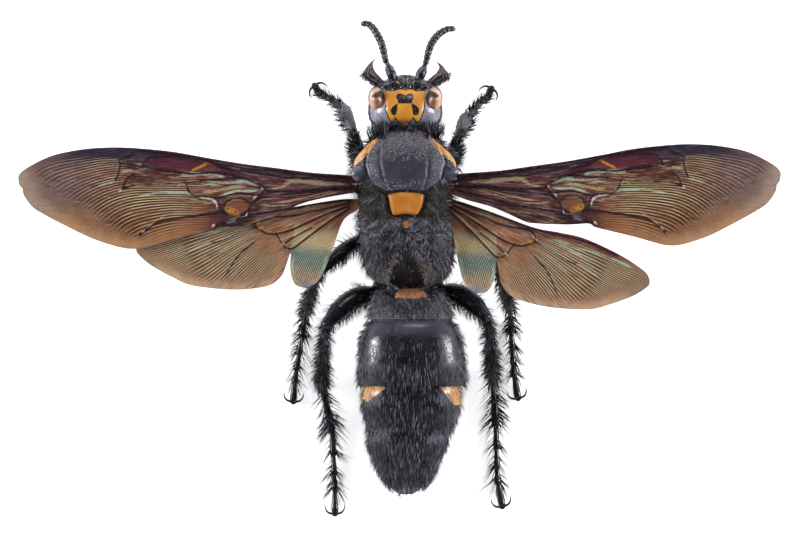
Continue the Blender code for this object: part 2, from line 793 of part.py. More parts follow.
def lock_row(own, over, row, group):
    """Locks side by side round the body, rooted in one stretch of it and lying over the next."""
    count, spread, broad, ((root_y, root_out), (bend_y, bend_out), (tip_y, tip_out)) = row
    locks = []
    for number in range(count):
        turn = math.radians(spread * (2 * number / (count - 1) - 1))
        stray = DICE.uniform(-LOCK_STRAY, LOCK_STRAY)
        aside = DICE.uniform(-LOCK_ASIDE, LOCK_ASIDE)
        root = body_point(own, root_y + stray, turn, root_out)
        bend = body_point(own, bend_y + stray, turn, bend_out)
        tip = body_point(over, tip_y + stray, turn + aside, tip_out)
        outward = Vector((math.sin(turn), 0.0, math.cos(turn)))
        locks.append(lock(root, bend, tip, outward, broad, group))
    return locks


def fringe_places(sections):
    """The row of locks at the hind edge of a ring of the abdomen, lying over the next ring."""
    edge = sections[-1][0]
    return (
        (edge + FRINGE_ROOT, -LOCK_SUNK),
        (edge + FRINGE_BEND[0], FRINGE_BEND[1]),
        (edge - FRINGE_LENGTH, GAP + LOCK_CLEAR),
    )


def along(start, end, profile, half, reach):
    """Points and half sizes of a leg segment, reaching past both ends for the joint cuts."""
    start, end = Vector(start), Vector(end)
    direction = (end - start).normalized()
    points = [start - direction * reach]
    halves = [(profile[0][1] * half, profile[0][1] * half * SEGMENT_DEPTH)]
    for place, share in profile:
        points.append(start.lerp(end, place))
        halves.append((share * half, share * half * SEGMENT_DEPTH))
    points.append(end + direction * reach)
    halves.append(halves[-1])
    return points, halves


def joint_cut(before, joint, after, outward):
    """The plane that halves the bend at a joint, set back by half the gap."""
    before, joint, after = Vector(before), Vector(joint), Vector(after)
    normal = ((joint - before).normalized() + (after - joint).normalized()).normalized()
    normal *= outward
    return joint - normal * GAP / 2, normal


def foot_pieces(leg):
    """Start and end of each foot piece between the heel and the claw joint."""
    path = smooth_line([Vector(p) for p in (leg["heel"], *leg["foot"][:2])], FOOT_STEP)
    stops = []
    for number in range(FOOT_PIECES + 1):
        stops.append(path[round(number / FOOT_PIECES * (len(path) - 1))])
    return list(zip(stops, stops[1:]))


def claw(tip, forward, level, group):
    """A claw that bends out to its side and points back."""
    place = tip
    line = []
    for ahead, out, rise in CLAW_STEPS:
        place = place + forward * ahead + level * out + Vector((0, 0, rise))
        line.append(place)
    return tube("claw", line, CLAW_SIZES, CLAW_SIDES, group)


def foot_bristle(start, end, side, reach, group):
    """A bristle at the far end of a foot piece, on its left or its right side."""
    share, inset = BRISTLE_ROOT
    out, ahead = reach
    run = (end - start).normalized()
    level = across(run)[0] * side
    root = start.lerp(end, share) + level * inset
    return spike(root, root + level * out + run * ahead, SPINE_HALF, group)


def tarsus(name, leg, group):
    """The foot with its claws and bristles, cut at the heel and flat where it stands on the floor."""
    heel = Vector(leg["heel"])
    middle, claw_joint, tip = [Vector(p) for p in leg["foot"]]
    pieces = foot_pieces(leg)
    stretches = [(start, end, FOOT_PROFILE) for start, end in pieces]
    stretches.append((claw_joint, tip, CLAW_PROFILE))
    points = [heel - (pieces[0][1] - heel).normalized() * JOINT_REACH]
    halves = [FOOT_PROFILE[0][1]]
    for start, end, profile in stretches:
        for share, half in profile:
            points.append(start.lerp(end, share))
            halves.append(half)
    cuts = [joint_cut(leg["knee"], heel, middle, -1), FLOOR_CUT]
    made = tube(name, points, halves, FOOT_SIDES, group, cuts)
    forward = (tip - claw_joint).normalized()
    reach = BRISTLE_REACH[name.split("_")[1]]
    extras = []
    for side in (-1, 1):
        extras.append(claw(tip, forward, across(forward)[0] * side, group))
        for start, end in pieces:
            extras.append(foot_bristle(start, end, side, reach, group))
    apply_boolean(made, extras, "UNION")


def leg_nodes(place, leg, group):
    """Coxa, femur, tibia and tarsus of one leg, each cut square to the bend at its joints."""
    root, turn, hip = leg["coxa"]
    knee, heel, toe = leg["knee"], leg["heel"], leg["foot"][0]
    direction = (Vector(hip) - Vector(turn)).normalized()
    coxa_line = (root, turn, Vector(hip) + direction * JOINT_REACH)
    cuts = [joint_cut(turn, hip, knee, 1)]
    coxa = tube(f"coxa_{place}", coxa_line, COXA_HALVES, LEG_SIDES, group, cuts)
    apply_boolean(coxa, grown_thorax(group), "DIFFERENCE")
    points, halves = along(hip, knee, FEMUR_PROFILE, leg["femur_half"], JOINT_REACH)
    cuts = [joint_cut(turn, hip, knee, -1), joint_cut(hip, knee, heel, 1)]
    femur = tube(f"femur_{place}", points, halves, LEG_SIDES, group, cuts)
    row = FEMUR_SPINES[place.split("_")[0]]
    spikes = leg_spikes(hip, knee, FEMUR_PROFILE, leg["femur_half"], row, group)
    apply_boolean(femur, spikes, "UNION")
    points, halves = along(knee, heel, TIBIA_PROFILE, leg["tibia_half"], JOINT_REACH)
    cuts = [joint_cut(hip, knee, heel, -1), joint_cut(knee, heel, toe, 1)]
    tibia = tube(f"tibia_{place}", points, halves, LEG_SIDES, group, cuts)
    row = TIBIA_SPINES[place.split("_")[0]]
    spikes = leg_spikes(knee, heel, TIBIA_PROFILE, leg["tibia_half"], row, group)
    apply_boolean(tibia, spikes, "UNION")
    tarsus(f"tarsus_{place}", leg, group)


def body_nodes(group):
    """Head, thorax and abdomen, each with the room for what sits in it taken away."""
    head = body_loft("head", HEAD_SECTIONS, group)
    for side, middle in EYE_MIDDLES.items():
        lean = EYE_TURN if side == "left" else -EYE_TURN
        turn = Matrix.Rotation(math.radians(lean), 4, "Z")
        ball(f"eye_{side}", middle, EYE_HALF, turn, group)
        room = ball("room", middle, EYE_HALF, turn, group, GAP)
        apply_boolean(head, [room], "DIFFERENCE")
    face = []
    upright = Matrix.Identity(4)
    for middle, halves in (SHIELD, LIP, *SOCKETS, *OCELLI):
        face.append(ball("face", middle, halves, upright, group, segments=FACE_SEGMENTS))
    apply_boolean(head, face, "UNION")
    mesothorax = body_loft("mesothorax", MESOTHORAX_SECTIONS, group)
    room = body_loft("room", SCUTELLUM_SECTIONS, group, GAP)
    apply_boolean(mesothorax, [room], "DIFFERENCE")
    body_loft("scutellum", SCUTELLUM_SECTIONS, group)
    pronotum = body_loft("pronotum", PRONOTUM_SECTIONS, group)
    room = body_loft("room", MESOTHORAX_SECTIONS, group, GAP)
    apply_boolean(pronotum, [room], "DIFFERENCE")
    ruff = lock_row(PRONOTUM_SECTIONS, HEAD_SECTIONS, RUFF, group)
    apply_boolean(pronotum, ruff, "UNION")
    metathorax = body_loft("metathorax", METATHORAX_SECTIONS, group)
    room = body_loft("room", SCUTELLUM_SECTIONS, group, GAP)
    apply_boolean(metathorax, [room], "DIFFERENCE")
    propodeum = body_loft("propodeum", PROPODEUM_SECTIONS, group)
    mantle = lock_row(PROPODEUM_SECTIONS, ABDOMEN_SECTIONS[0], MANTLE, group)
    apply_boolean(propodeum, mantle, "UNION")
    for number, sections in enumerate(ABDOMEN_SECTIONS):
        ring = body_loft(f"abdomen_{number + 1}", sections, group)
        if number < len(FRINGE_COUNTS):
            over = ABDOMEN_SECTIONS[number + 1]
            row = (FRINGE_COUNTS[number], FRINGE_SPREAD, FRINGE_BROAD, fringe_places(sections))
            fringe = lock_row(sections, over, row, group)
            apply_boolean(ring, fringe, "UNION")


def grown_thorax(group):
    """The thorax with the gap all round, to cut what is rooted in it."""
    rooms = []
    for sections in (PRONOTUM_SECTIONS, MESOTHORAX_SECTIONS, METATHORAX_SECTIONS, PROPODEUM_SECTIONS):
        rooms.append(body_loft("room", sections, group, GAP))
    return rooms


def head_pieces(group):
    """Feelers and jaws, cut clear of the head."""
    for side in ("left", "right"):
        scape_line, flagellum_line = SCAPES[side], FLAGELLA[side]
        scape = tube(f"scape_{side}", scape_line, SCAPE_HALVES, LEG_SIDES, group)
        apply_boolean(scape, [body_loft("room", HEAD_SECTIONS, group, GAP)], "DIFFERENCE")
        tube(f"flagellum_{side}", flagellum_line, FLAGELLUM_HALVES, LEG_SIDES, group)
        mandible = tube(f"mandible_{side}", MANDIBLES[side], MANDIBLE_HALVES, LEG_SIDES, group)
        apply_boolean(mandible, [body_loft("room", HEAD_SECTIONS, group, GAP)], "DIFFERENCE")


def finish(obj, parent):
    """Smooth faces, its own material, and its origin in the middle of its box, under the model's empty."""
    points = [Vector(corner) for corner in obj.bound_box]
    middle = sum(points, Vector()) / len(points)
    obj.data.transform(Matrix.Translation(-middle))
    obj.location = middle
    obj.parent = parent
    obj.data.shade_smooth()
    obj.data.set_sharp_from_angle(angle=math.radians(SHARP_ANGLE))
    obj.data.materials.clear()
    obj.data.materials.append(material(obj.name))


def build():
    clear_scene()
    group = collection(MODEL)
    body_nodes(group)
    head_pieces(group)
    for side, middle in TEGULA_MIDDLES.items():
        lean = TEGULA_TILT if side == "right" else -TEGULA_TILT
        turn = Matrix.Rotation(math.radians(lean), 4, "Y")
        tegula = ball(f"tegula_{side}", middle, TEGULA_HALF, turn, group)
        apply_boolean(tegula, grown_thorax(group), "DIFFERENCE")
    for name in WING_FITS:
        apply_boolean(wing(name, group), grown_thorax(group), "DIFFERENCE")
    for place, leg in LEGS.items():
        leg_nodes(place, leg, group)
    parent = bpy.data.objects.new(f"{MODEL}_origin", None)
    bpy.context.scene.collection.objects.link(parent)
    for obj in list(group.objects):
        finish(obj, parent)


build()
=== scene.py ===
# %% [markdown]
# # A giant scoliid wasp with its wings spread
# The solids of the model are packed already, as a frame that is never moved. This lesson dresses them:
# each plain solid is replaced by a finer skin, and the skins get hair, veins and finishes. All sizes are in
# millimetres, because a wasp is easiest to think of in them, and they become metres in one place only.

import math

import bmesh
import bpy
import numpy as np
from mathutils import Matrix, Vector


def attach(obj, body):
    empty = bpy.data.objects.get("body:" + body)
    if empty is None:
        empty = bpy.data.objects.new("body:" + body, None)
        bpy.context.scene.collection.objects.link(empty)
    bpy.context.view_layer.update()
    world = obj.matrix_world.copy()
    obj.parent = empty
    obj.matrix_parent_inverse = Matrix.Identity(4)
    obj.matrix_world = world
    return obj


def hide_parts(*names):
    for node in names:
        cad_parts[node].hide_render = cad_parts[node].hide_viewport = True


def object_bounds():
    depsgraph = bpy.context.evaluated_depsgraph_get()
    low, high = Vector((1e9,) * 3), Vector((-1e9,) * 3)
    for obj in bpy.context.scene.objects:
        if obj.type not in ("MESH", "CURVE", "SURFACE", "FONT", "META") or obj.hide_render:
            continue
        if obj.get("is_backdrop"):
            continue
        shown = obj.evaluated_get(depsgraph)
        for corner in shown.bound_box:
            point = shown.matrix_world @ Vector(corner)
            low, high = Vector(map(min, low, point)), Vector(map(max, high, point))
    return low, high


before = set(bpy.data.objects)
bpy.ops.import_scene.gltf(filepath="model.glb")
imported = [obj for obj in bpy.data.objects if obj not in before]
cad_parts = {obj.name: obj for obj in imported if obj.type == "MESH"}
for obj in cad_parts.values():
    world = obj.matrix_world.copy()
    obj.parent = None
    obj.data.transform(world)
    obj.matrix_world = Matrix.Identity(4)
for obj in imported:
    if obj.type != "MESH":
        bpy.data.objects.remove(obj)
CAD_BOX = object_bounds()
MM = 0.001
DICE = np.random.default_rng(11)
print(f"{len(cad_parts)} solids, {(CAD_BOX[1].x - CAD_BOX[0].x) / MM:.1f} mm across the wings")

# %% [markdown]
# ## Curves and masks
# Outlines are drawn with few points. A spline that runs through all its points joins them, so a
# drawn outline stays where it was drawn. Spots, grooves and ridges are then measured from such outlines: how
# deep a point lies inside one says both what colour it has and how far it is raised.

# %% Smooth lines, distances and soft steps
def smooth_line(points, step):
    """Rows along a smooth curve through the given rows, about a step apart."""
    points = np.array(points, float)
    ends = np.vstack([2 * points[0] - points[1], points, 2 * points[-1] - points[-2]])
    line = []
    for before, start, end, after in zip(ends, ends[1:], ends[2:], ends[3:]):
        count = max(1, round(np.linalg.norm(end - start) / step))
        t = np.arange(count)[:, None] / count
        bend = (2 * before - 5 * start + 4 * end - after) * t**2
        line.append(0.5 * (2 * start + (end - before) * t + bend
            + (3 * start - before - 3 * end + after) * t**3))
    return np.vstack([*line, points[-1]])


def distance_to(x, y, line):
    """How far each point is from an open line, in millimetres."""
    nearest = np.full(np.shape(x), np.inf)
    for (ax, ay), (bx, by) in zip(line, line[1:]):
        dx, dy = bx - ax, by - ay
        t = np.clip(((x - ax) * dx + (y - ay) * dy) / (dx * dx + dy * dy + 1e-12), 0, 1)
        nearest = np.minimum(nearest, np.hypot(x - ax - t * dx, y - ay - t * dy))
    return nearest


def depth_inside(x, y, outline):
    """How deep each point lies inside a closed outline, and negative outside it."""
    ring = [*outline, outline[0]]
    inside = np.zeros(np.shape(x), bool)
    for (ax, ay), (bx, by) in zip(ring, ring[1:]):
        crossing = (ay > y) != (by > y)
        inside ^= crossing & (x < ax + (y - ay) / (by - ay + 1e-12) * (bx - ax))
    return np.where(inside, 1, -1) * distance_to(x, y, ring)


def step_up(value, low, high):
    """0 below low, 1 above high and a soft step between."""
    t = np.clip((value - low) / (high - low), 0, 1)
    return t * t * (3 - 2 * t)


def hump(value, middle, half):
    """1 at the middle, falling to nothing within about two half widths."""
    return np.exp(-(((value - middle) / half) ** 2))


def blob(x, y, spot, halves):
    """1 at a spot, falling to nothing within about twice its half widths."""
    return np.exp(-(((x - spot[0]) / halves[0]) ** 2) - ((y - spot[1]) / halves[1]) ** 2)


def edge_of(deep, soft=0.3):
    """Half at an edge, 1 well inside it and 0 well outside, from how deep a point lies."""
    return np.clip(0.5 + deep / soft, 0, 1)


def flat(points):
    """The x and the y of points."""
    return points[..., 0], points[..., 1]


def away(points, spot, halves=(1.0, 1.0)):
    """How far each point is from a spot, seen from above and measured in its half widths."""
    return np.hypot((points[..., 0] - spot[0]) / halves[0], (points[..., 1] - spot[1]) / halves[1])


print("a soft step at its middle:", float(step_up(0.5, 0.0, 1.0)))

# %% [markdown]
# ## Skins from a bent grid
# Most of an insect is tubes: a body, a leg, a feeler. The grid operator makes a sheet of quads, and
# bending that sheet round a line closes it into a tube. The rule that bends it, a place function, is kept,
# because hair is planted later with the same rule. Cross products of its small steps give the outward side.

# %% Grids bent into place
WELD = 2e-7


def unit(vectors):
    """The vectors at a length of 1."""
    return vectors / np.maximum(np.linalg.norm(vectors, axis=-1, keepdims=True), 1e-12)


def slopes(place, u, v, small=2e-3):
    """The two directions of a surface at u, v: round it and along it."""
    low, high = np.clip(v - small, 0, 1), np.clip(v + small, 0, 1)
    round_it = (place(u + small, v) - place(u - small, v)) / (2 * small)
    along = (place(u, high) - place(u, low)) / (high - low)[..., None]
    return round_it, along


def raised(place, relief):
    """The place function with a relief, in millimetres, pushed out along the normals."""
    def bumpy(u, v):
        round_it, along = slopes(place, u, v)
        normal = unit(np.cross(along, round_it))
        points = place(u, v)
        return points + normal * relief(points, normal)[..., None]
    return bumpy


def add_patch(bm, place, columns, rows):
    """Adds a grid of quads to the mesh, bent to the place function. Returns its corners."""
    made = bmesh.ops.create_grid(bm, x_segments=columns, y_segments=rows, size=0.5)["verts"]
    flat = np.array([vert.co for vert in made])[:, :2] + 0.5
    for vert, point in zip(made, place(flat[:, 0], flat[:, 1]) * MM):
        vert.co = point
    return made


def finish_mesh(name, bm, marks=None):
    """Closes the seams, turns the faces out and writes each mark as a value at every corner."""
    bmesh.ops.remove_doubles(bm, verts=bm.verts, dist=WELD)
    bmesh.ops.recalc_face_normals(bm, faces=bm.faces)
    mesh = bpy.data.meshes.new(name)
    bm.to_mesh(mesh)
    bm.free()
    mesh.shade_smooth()
    co = np.zeros(len(mesh.vertices) * 3, np.float32)
    mesh.vertices.foreach_get("co", co)
    points = co.reshape(-1, 3).astype(float) / MM
    for mark, rule in (marks or {}).items():
        values = rule(points).astype(np.float32)
        mesh.attributes.new(mark, "FLOAT", "POINT").data.foreach_set("value", values)
    made = bpy.data.objects.new(name, mesh)
    bpy.context.scene.collection.objects.link(made)
    return made


def skin(name, patches, marks=None):
    """One mesh of bent grids, each given as its place function, columns and rows."""
    bm = bmesh.new()
    for place, columns, rows in patches:
        add_patch(bm, place, columns, rows)
    return finish_mesh(name, bm, marks)


def seat(piece, look, slot, *nodes):
    """Gives a piece its look and puts it in the place of these solids. The slot is not used."""
    piece.data.materials.append(look.material)
    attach(piece, "root")
    if nodes:
        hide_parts(*nodes)
    print(f"{piece.name}: {len(piece.data.polygons)} faces")
    return piece


# %% [markdown]
# ## Writing a finish as sums
# A finish is a net of nodes, which soon gets hard to read. Here a small class wraps the output of a node
# and takes the ordinary signs, so 1 - mask adds the node that subtracts. Only numbers go
# through it: colours are blended with Mix nodes, because a Math node would turn them grey.

# %% The shader helpers
class Value:
    """A number that changes over a surface."""

    def __init__(self, look, socket):
        self.look = look
        self.socket = socket

    def maths(self, operation, *others):
        return self.look.maths(operation, self, *others)

    def __add__(self, other):
        return self.maths("ADD", other)

    def __sub__(self, other):
        return self.maths("SUBTRACT", other)

    def __rsub__(self, other):
        return self.look.maths("SUBTRACT", other, self)

    def __mul__(self, other):
        return self.maths("MULTIPLY", other)

    def __truediv__(self, other):
        return self.maths("DIVIDE", other)

    __radd__ = __add__
    __rmul__ = __mul__

    def wave(self, length):
        """A cosine of this wavelength, from 0 to 1."""
        return (self * (2 * math.pi / length)).maths("COSINE") * 0.5 + 0.5

    def step(self, low, high):
        """0 below low, 1 above high and a soft step between."""
        settings = {"interpolation_type": "SMOOTHSTEP"}
        made = self.look.node("ShaderNodeMapRange", settings,
            {"Value": self, "From Min": low, "From Max": high})
        return Value(self.look, made.outputs["Result"])


class Look:
    """A finish: a Principled BSDF and the nodes that feed it."""

    def __init__(self, name):
        self.material = bpy.data.materials.new(name)
        self.material.use_nodes = True
        self.shader = self.material.node_tree.nodes["Principled BSDF"]

    def node(self, kind, settings=None, values=None):
        """Adds a node. Its settings come first, because some of them change which sockets it has."""
        made = self.material.node_tree.nodes.new(kind)
        for name, setting in (settings or {}).items():
            setattr(made, name, setting)
        for name, value in (values or {}).items():
            self.plug(made.inputs[name], value)
        return made

    def plug(self, socket, value):
        """Links a value or an output to a socket, or sets a number or a colour, written in digits, on it."""
        source = getattr(value, "socket", value)
        if isinstance(source, bpy.types.NodeSocket):
            self.material.node_tree.links.new(source, socket)
        else:
            socket.default_value = colour(source) if isinstance(source, str) else source

    def maths(self, operation, *values):
        made = self.node("ShaderNodeMath", {"operation": operation}, dict(enumerate(values)))
        return Value(self, made.outputs[0])

    def mark(self, name):
        """A value that was written at the corners of the mesh."""
        return Value(self, self.node("ShaderNodeAttribute", {"attribute_name": name}).outputs["Fac"])

    def place(self):
        """Object coordinates in millimetres, as a vector output."""
        source = self.node("ShaderNodeTexCoord").outputs["Object"]
        made = self.node("ShaderNodeVectorMath", {"operation": "SCALE"}, {0: source, "Scale": 1 / MM})
        return made.outputs["Vector"]

    def vector(self, *parts):
        return self.node("ShaderNodeCombineXYZ", None, dict(enumerate(parts))).outputs["Vector"]

    def noise(self, vector, scale, detail=2.0, roughness=0.5):
        values = {"Vector": vector, "Scale": scale, "Detail": detail, "Roughness": roughness}
        return Value(self, self.node("ShaderNodeTexNoise", None, values).outputs["Fac"])

    def pits(self, vector, scale):
        """Distance to the nearest of many scattered points, small in each pit."""
        made = self.node("ShaderNodeTexVoronoi", None, {"Vector": vector, "Scale": scale})
        return Value(self, made.outputs["Distance"])

    def blend(self, share, first, second):
        """The first colour where the share is 0 and the second where it is 1."""
        settings = {"data_type": "RGBA", "clamp_factor": True}
        return self.node("ShaderNodeMix", settings, {0: share, 6: first, 7: second}).outputs[2]

    def bump(self, height, distance, strength=1.0):
        """Small relief that only the light sees. The distance is in millimetres."""
        values = {"Height": height, "Distance": distance * MM, "Strength": strength}
        self.plug(self.shader.inputs["Normal"], self.node("ShaderNodeBump", None, values).outputs["Normal"])

    def set(self, **values):
        """Sets the shader's sockets. An underscore stands for the space in a socket's name."""
        for name, value in values.items():
            self.plug(self.shader.inputs[name.replace("_", " ")], value)


def colour(text):
    """A colour written as six hexadecimal digits, as the shader wants it."""
    parts = [int(text[i:i + 2], 16) / 255 for i in (0, 2, 4)]
    return (*[p / 12.92 if p < 0.04045 else ((p + 0.055) / 1.055) ** 2.4 for p in parts], 1.0)


print("mid grey in the shader:", round(colour("808080")[0], 3))

# %% [markdown]
# ## The trunk of the body
# Head, thorax and abdomen are all trunks: rows of an upright section, each a bit wider or narrower than
# the last. A row is its y, its left and right side, its bottom and its top, so the body can lean to one
# side as a real specimen does. The section is squarer than an ellipse, as an armoured body is.

# %% Trunks
SQUARE = 0.9


def trunk(rows, square=SQUARE):
    """The place function of a trunk. u runs round it from under the belly, v from the head to the tail."""
    rows = np.array(rows, float)
    stops = np.arange(len(rows))

    def place(u, v):
        at = np.asarray(v) * (len(rows) - 1)
        y, left, right, bottom, top = (np.interp(at, stops, column) for column in rows.T)
        turn = (2 * np.asarray(u) - 1) * math.pi
        across, up = np.sin(turn), np.cos(turn)
        x = (left + right) / 2 + (right - left) / 2 * np.sign(across) * np.abs(across) ** square
        z = (bottom + top) / 2 + (top - bottom) / 2 * np.sign(up) * np.abs(up) ** square
        return np.stack([x, y, z], -1)
    return place


def pointed(row):
    """The row shrunk to a point, which closes the end of a trunk."""
    y, left, right, bottom, top = row
    return (y, (left + right) / 2, (left + right) / 2, (bottom + top) / 2, (bottom + top) / 2)


def closed(rows):
    """The rows with a point at both ends."""
    return np.vstack([pointed(rows[0]), rows, pointed(rows[-1])])


def shrunk(row, by, y):
    """The row drawn in by some millimetres all round, at another y."""
    return (y, row[1] + by, row[2] - by, row[3] + by, row[4] - by)


print("a row drawn in by 0.5:", shrunk((0.0, -2.0, 2.0, 0.0, 3.0), 0.5, 0.0))

# %% [markdown]
# ## The black armour
# A scoliid's shell is black chitin, and what makes it look real is not its colour but its skin: thousands
# of small pits, each with a hair in it, between patches that shine like lacquer. The pits are
# scattered cells, and a slow noise makes the gloss uneven. Yellow and orange are markings in the same shell.

# %% The finish of the shell
BLACK, SLATE = "08080c", "1a1a22"
ORANGE, DEEP_ORANGE = "d8992e", "c67e22"
YELLOW, RUST = "dc9f56", "d08658"
# Marks that fade over a wider step than others
SOFT_MARKS = {"band": (0.0, 1.4), "hollow": (0.1, 0.9), "temple_sheen": (0.2, 0.8)}


def shell_look(name, pit_scale=6.0, gloss=0.3, marks=()):
    """The black shell. Each mark is the name of a mask, its colour and the colour of its darker patches."""
    look = Look(name)
    place = look.place()
    cloud = look.noise(place, 0.55, 4.0, 0.6)
    grain = look.noise(place, 5.0, 3.0, 0.6)
    pits = look.pits(place, pit_scale)
    tint = look.blend(cloud.step(0.35, 0.75) * 0.7, BLACK, SLATE)
    gloss = look.mark("felt") * 0.32 + gloss
    for mark, light, dark in marks:
        low, high = SOFT_MARKS.get(mark, (0.4, 0.6))
        edge = (look.mark(mark) + (grain - 0.5) * 0.35).step(low, high)
        tint = look.blend(edge, tint, look.blend((cloud + grain * 0.4).step(0.5, 0.85), light, dark))
    dots = look.noise(place, 3.4, 2.0, 0.6).step(0.56, 0.66) * look.mark("stipple")
    tint = look.blend(dots * 0.7, tint, "90909a")
    look.set(Base_Color=tint, Roughness=gloss + (cloud - 0.5) * 0.2 + (0.2 - pits.step(0.0, 0.35) * 0.2),
        Specular_IOR_Level=0.45)
    look.bump(pits.step(0.05, 0.4) + grain * 0.35, 0.06, 0.7)
    return look


print("marks with soft edges:", *SOFT_MARKS)

# %% [markdown]
# ## The thorax
# Three rings of the thorax and the first ring behind the waist are fused in a wasp. The solids show them as
# five pieces with gaps, which nothing living has, so one skin replaces them all. The shield on its back,
# the orange scutellum and the yellow collar are drawn as outlines, and grooves follow their edges.

# %% The outlines of the thorax
THORAX_ROWS = (
    (21.9, -0.9, 2.6, 7.6, 10.6), (21.3, -1.9, 3.5, 6.8, 11.6), (20.8, -2.8, 4.4, 6, 12.9),
    (20, -3.9, 5.6, 5, 14.3), (18.4, -5.4, 6.9, 4.2, 15.2), (16.6, -6.8, 8.25, 3.7, 15.7),
    (14.6, -7.1, 8.55, 3.4, 15.9), (12.6, -6.6, 8.1, 3.2, 15.8), (10.6, -6.3, 7.85, 3.1, 15.6),
    (8.1, -6.1, 7.8, 3.4, 15), (6, -5.9, 7.8, 3.7, 14.4), (3, -5.65, 7.95, 3.9, 13.6),
    (0.5, -5.2, 7.6, 4.3, 12.7), (-1, -4.5, 7, 4.7, 11.7), (-2.2, -1.9, 4.8, 5.5, 10.3),
    (-3.2, 0.2, 3, 6.6, 9),
)
SCUTUM = (
    (0.85, 20.95), (-1.6, 20.7), (-3.2, 19.9), (-4.5, 18), (-5, 16), (-4.7, 14.6), (-4.2, 13.1),
    (-2.9, 12.2), (-1.8, 11.75), (0.85, 11.95), (3.6, 11.75), (4.4, 12.3), (5.7, 13.1), (6.3, 15),
    (6.6, 16.3), (5.6, 18.4), (4.6, 19.9), (3.2, 20.7),
)
SCUTELLUM = (
    (-1.75, 11.2), (-0.9, 11.5), (0.75, 11.65), (2.6, 11.5), (3.5, 11.2), (3.25, 9.6), (2.75, 8.5),
    (2.2, 8.25), (0.75, 8.4), (-0.8, 8.2), (-1.2, 8.6), (-1.5, 9.9),
)
COLLARS = (
    (
        (-3.1, 20.1), (-3.6, 19.9), (-4.9, 18.8), (-6.3, 17.5), (-7.1, 16.2), (-7.4, 14.7), (-6.75, 15.4),
        (-6.2, 16.1), (-5.2, 16.9), (-4.05, 18.3), (-3.3, 19.5),
    ),
    (
        (4.05, 20.1), (4.65, 19.95), (5.4, 19.3), (6.55, 18.35), (7.6, 17.4), (8.45, 16.4), (8.85, 14.7),
        (8.2, 15.45), (7.9, 16.05), (7, 16.8), (6.1, 17.4), (5.2, 18.3), (4.6, 19.2), (4.2, 19.65),
    ),
)
SCUTELLUM_LINE = smooth_line([*SCUTELLUM, SCUTELLUM[0]], 0.3)[:-1]
SCUTUM_LINE = smooth_line([*SCUTUM, SCUTUM[0]], 0.5)[:-1]
FURROWS = (
    ((-2.8, 18.2), (-2.95, 16.0), (-2.5, 14.0), (-1.9, 12.2)),
    ((4.0, 18.2), (4.2, 16.0), (4.0, 14.0), (3.4, 12.2)))
METANOTUM_SPOT = (0.85, 6.8, 0.55)
THORAX_COLUMNS = 260
# How far each knob rises or hollow sinks, where it is and its half widths
THORAX_KNOBS = (
    (-0.6, (-4.9, 10.6), (1.2, 2)), (-0.6, (6.6, 10.6), (1.2, 2)), (0.35, (0.85, 6.8), (0.9, 0.7)),
    (-0.9, (1.5, 0.6), (1.7, 1.6)), (-0.12, (0.6, 18), (0.18, 0.3)),
)
print("the shield is drawn with", len(SCUTUM_LINE), "points and the scutellum with", len(SCUTELLUM_LINE))


# %% The relief of the thorax
def thorax_relief(points, normal):
    """Raised plates with grooves round them, the knobs and hollows, and ripples beside the scutellum."""
    x, y = flat(points)
    shield = depth_inside(x, y, SCUTUM_LINE)
    plate = depth_inside(x, y, SCUTELLUM_LINE)
    groove = 0.32 - 0.24 * step_up(1.0 - np.abs(plate + 0.3), 0.0, 0.5)
    push = (0.3 * step_up(shield, -0.2, 0.3) - groove * hump(shield, -0.25, 0.16)
        + 0.08 * hump(shield, 0.22, 0.12))
    push += 0.35 * step_up(plate, -0.15, 0.6) - 0.3 * hump(plate, -0.25, 0.2)
    for furrow in FURROWS:
        push -= 0.1 * hump(distance_to(x, y, furrow), 0.1, 0.11)
    for collar in COLLARS:
        push += 0.2 * step_up(depth_inside(x, y, collar), -0.15, 0.25)
    push -= 0.2 * hump(y, 7.85, 0.25) + 0.25 * hump(y, 5.75, 0.3)
    for rise, spot, halves in THORAX_KNOBS:
        push += rise * blob(x, y, spot, halves)
    beside = (step_up(-np.maximum(shield, plate), 0.2, 0.6) * step_up(y, 5.4, 6.0)
        * step_up(-y, -14.0, -12.5))
    push += (0.26 * beside * np.sin(x * 1.9 + 1.7 * np.sin(y * 1.3 + 0.6))
        * np.sin(y * 1.7 + 1.5 * np.sin(x * 1.1)))
    return push * step_up(normal[..., 2], 0.1, 0.5)


# %% The marks of the thorax
def near_y(low, high, soft=0.4):
    """A mask rule: 1 between two values of y, with soft ends."""
    return (lambda points: step_up(points[:, 1], low - soft, low)
        * (1 - step_up(points[:, 1], high, high + soft)))


def inside_any(outlines, inset=0.0):
    """A mask rule: half inside at the edge of any of the outlines, seen from above and on the upper side."""
    def rule(points):
        deep = np.max([depth_inside(*flat(points), outline) for outline in outlines], axis=0)
        return edge_of(deep - inset)
    return rule


def scutellum_mask(points):
    spot = METANOTUM_SPOT[2] - away(points, METANOTUM_SPOT)
    plate = depth_inside(*flat(points), SCUTELLUM_LINE)
    return edge_of(np.maximum(plate, spot)) * (points[:, 2] > 10)


def shield_mask(points):
    """The smooth grey shield of the back."""
    return step_up(depth_inside(*flat(points), SCUTUM), -0.1, 0.1) * (points[:, 2] > 10)


def line_mask(points):
    """The pale line round the front of the shield, and its two furrows."""
    x, y = flat(points)
    rim = hump(depth_inside(x, y, SCUTUM_LINE), 0.0, 0.11) * step_up(y, 13.0, 14.2)
    furrow = np.max([hump(distance_to(x, y, line), 0.0, 0.07) for line in FURROWS], axis=0)
    return np.maximum(rim, furrow * 0.62) * (points[:, 2] > 10)


def collar_mask(points):
    """The yellow bands on the shoulders, which end where the sides of the body turn down."""
    return inside_any(COLLARS, 0.03)(points) * step_up(points[:, 2], 10.9, 11.7)


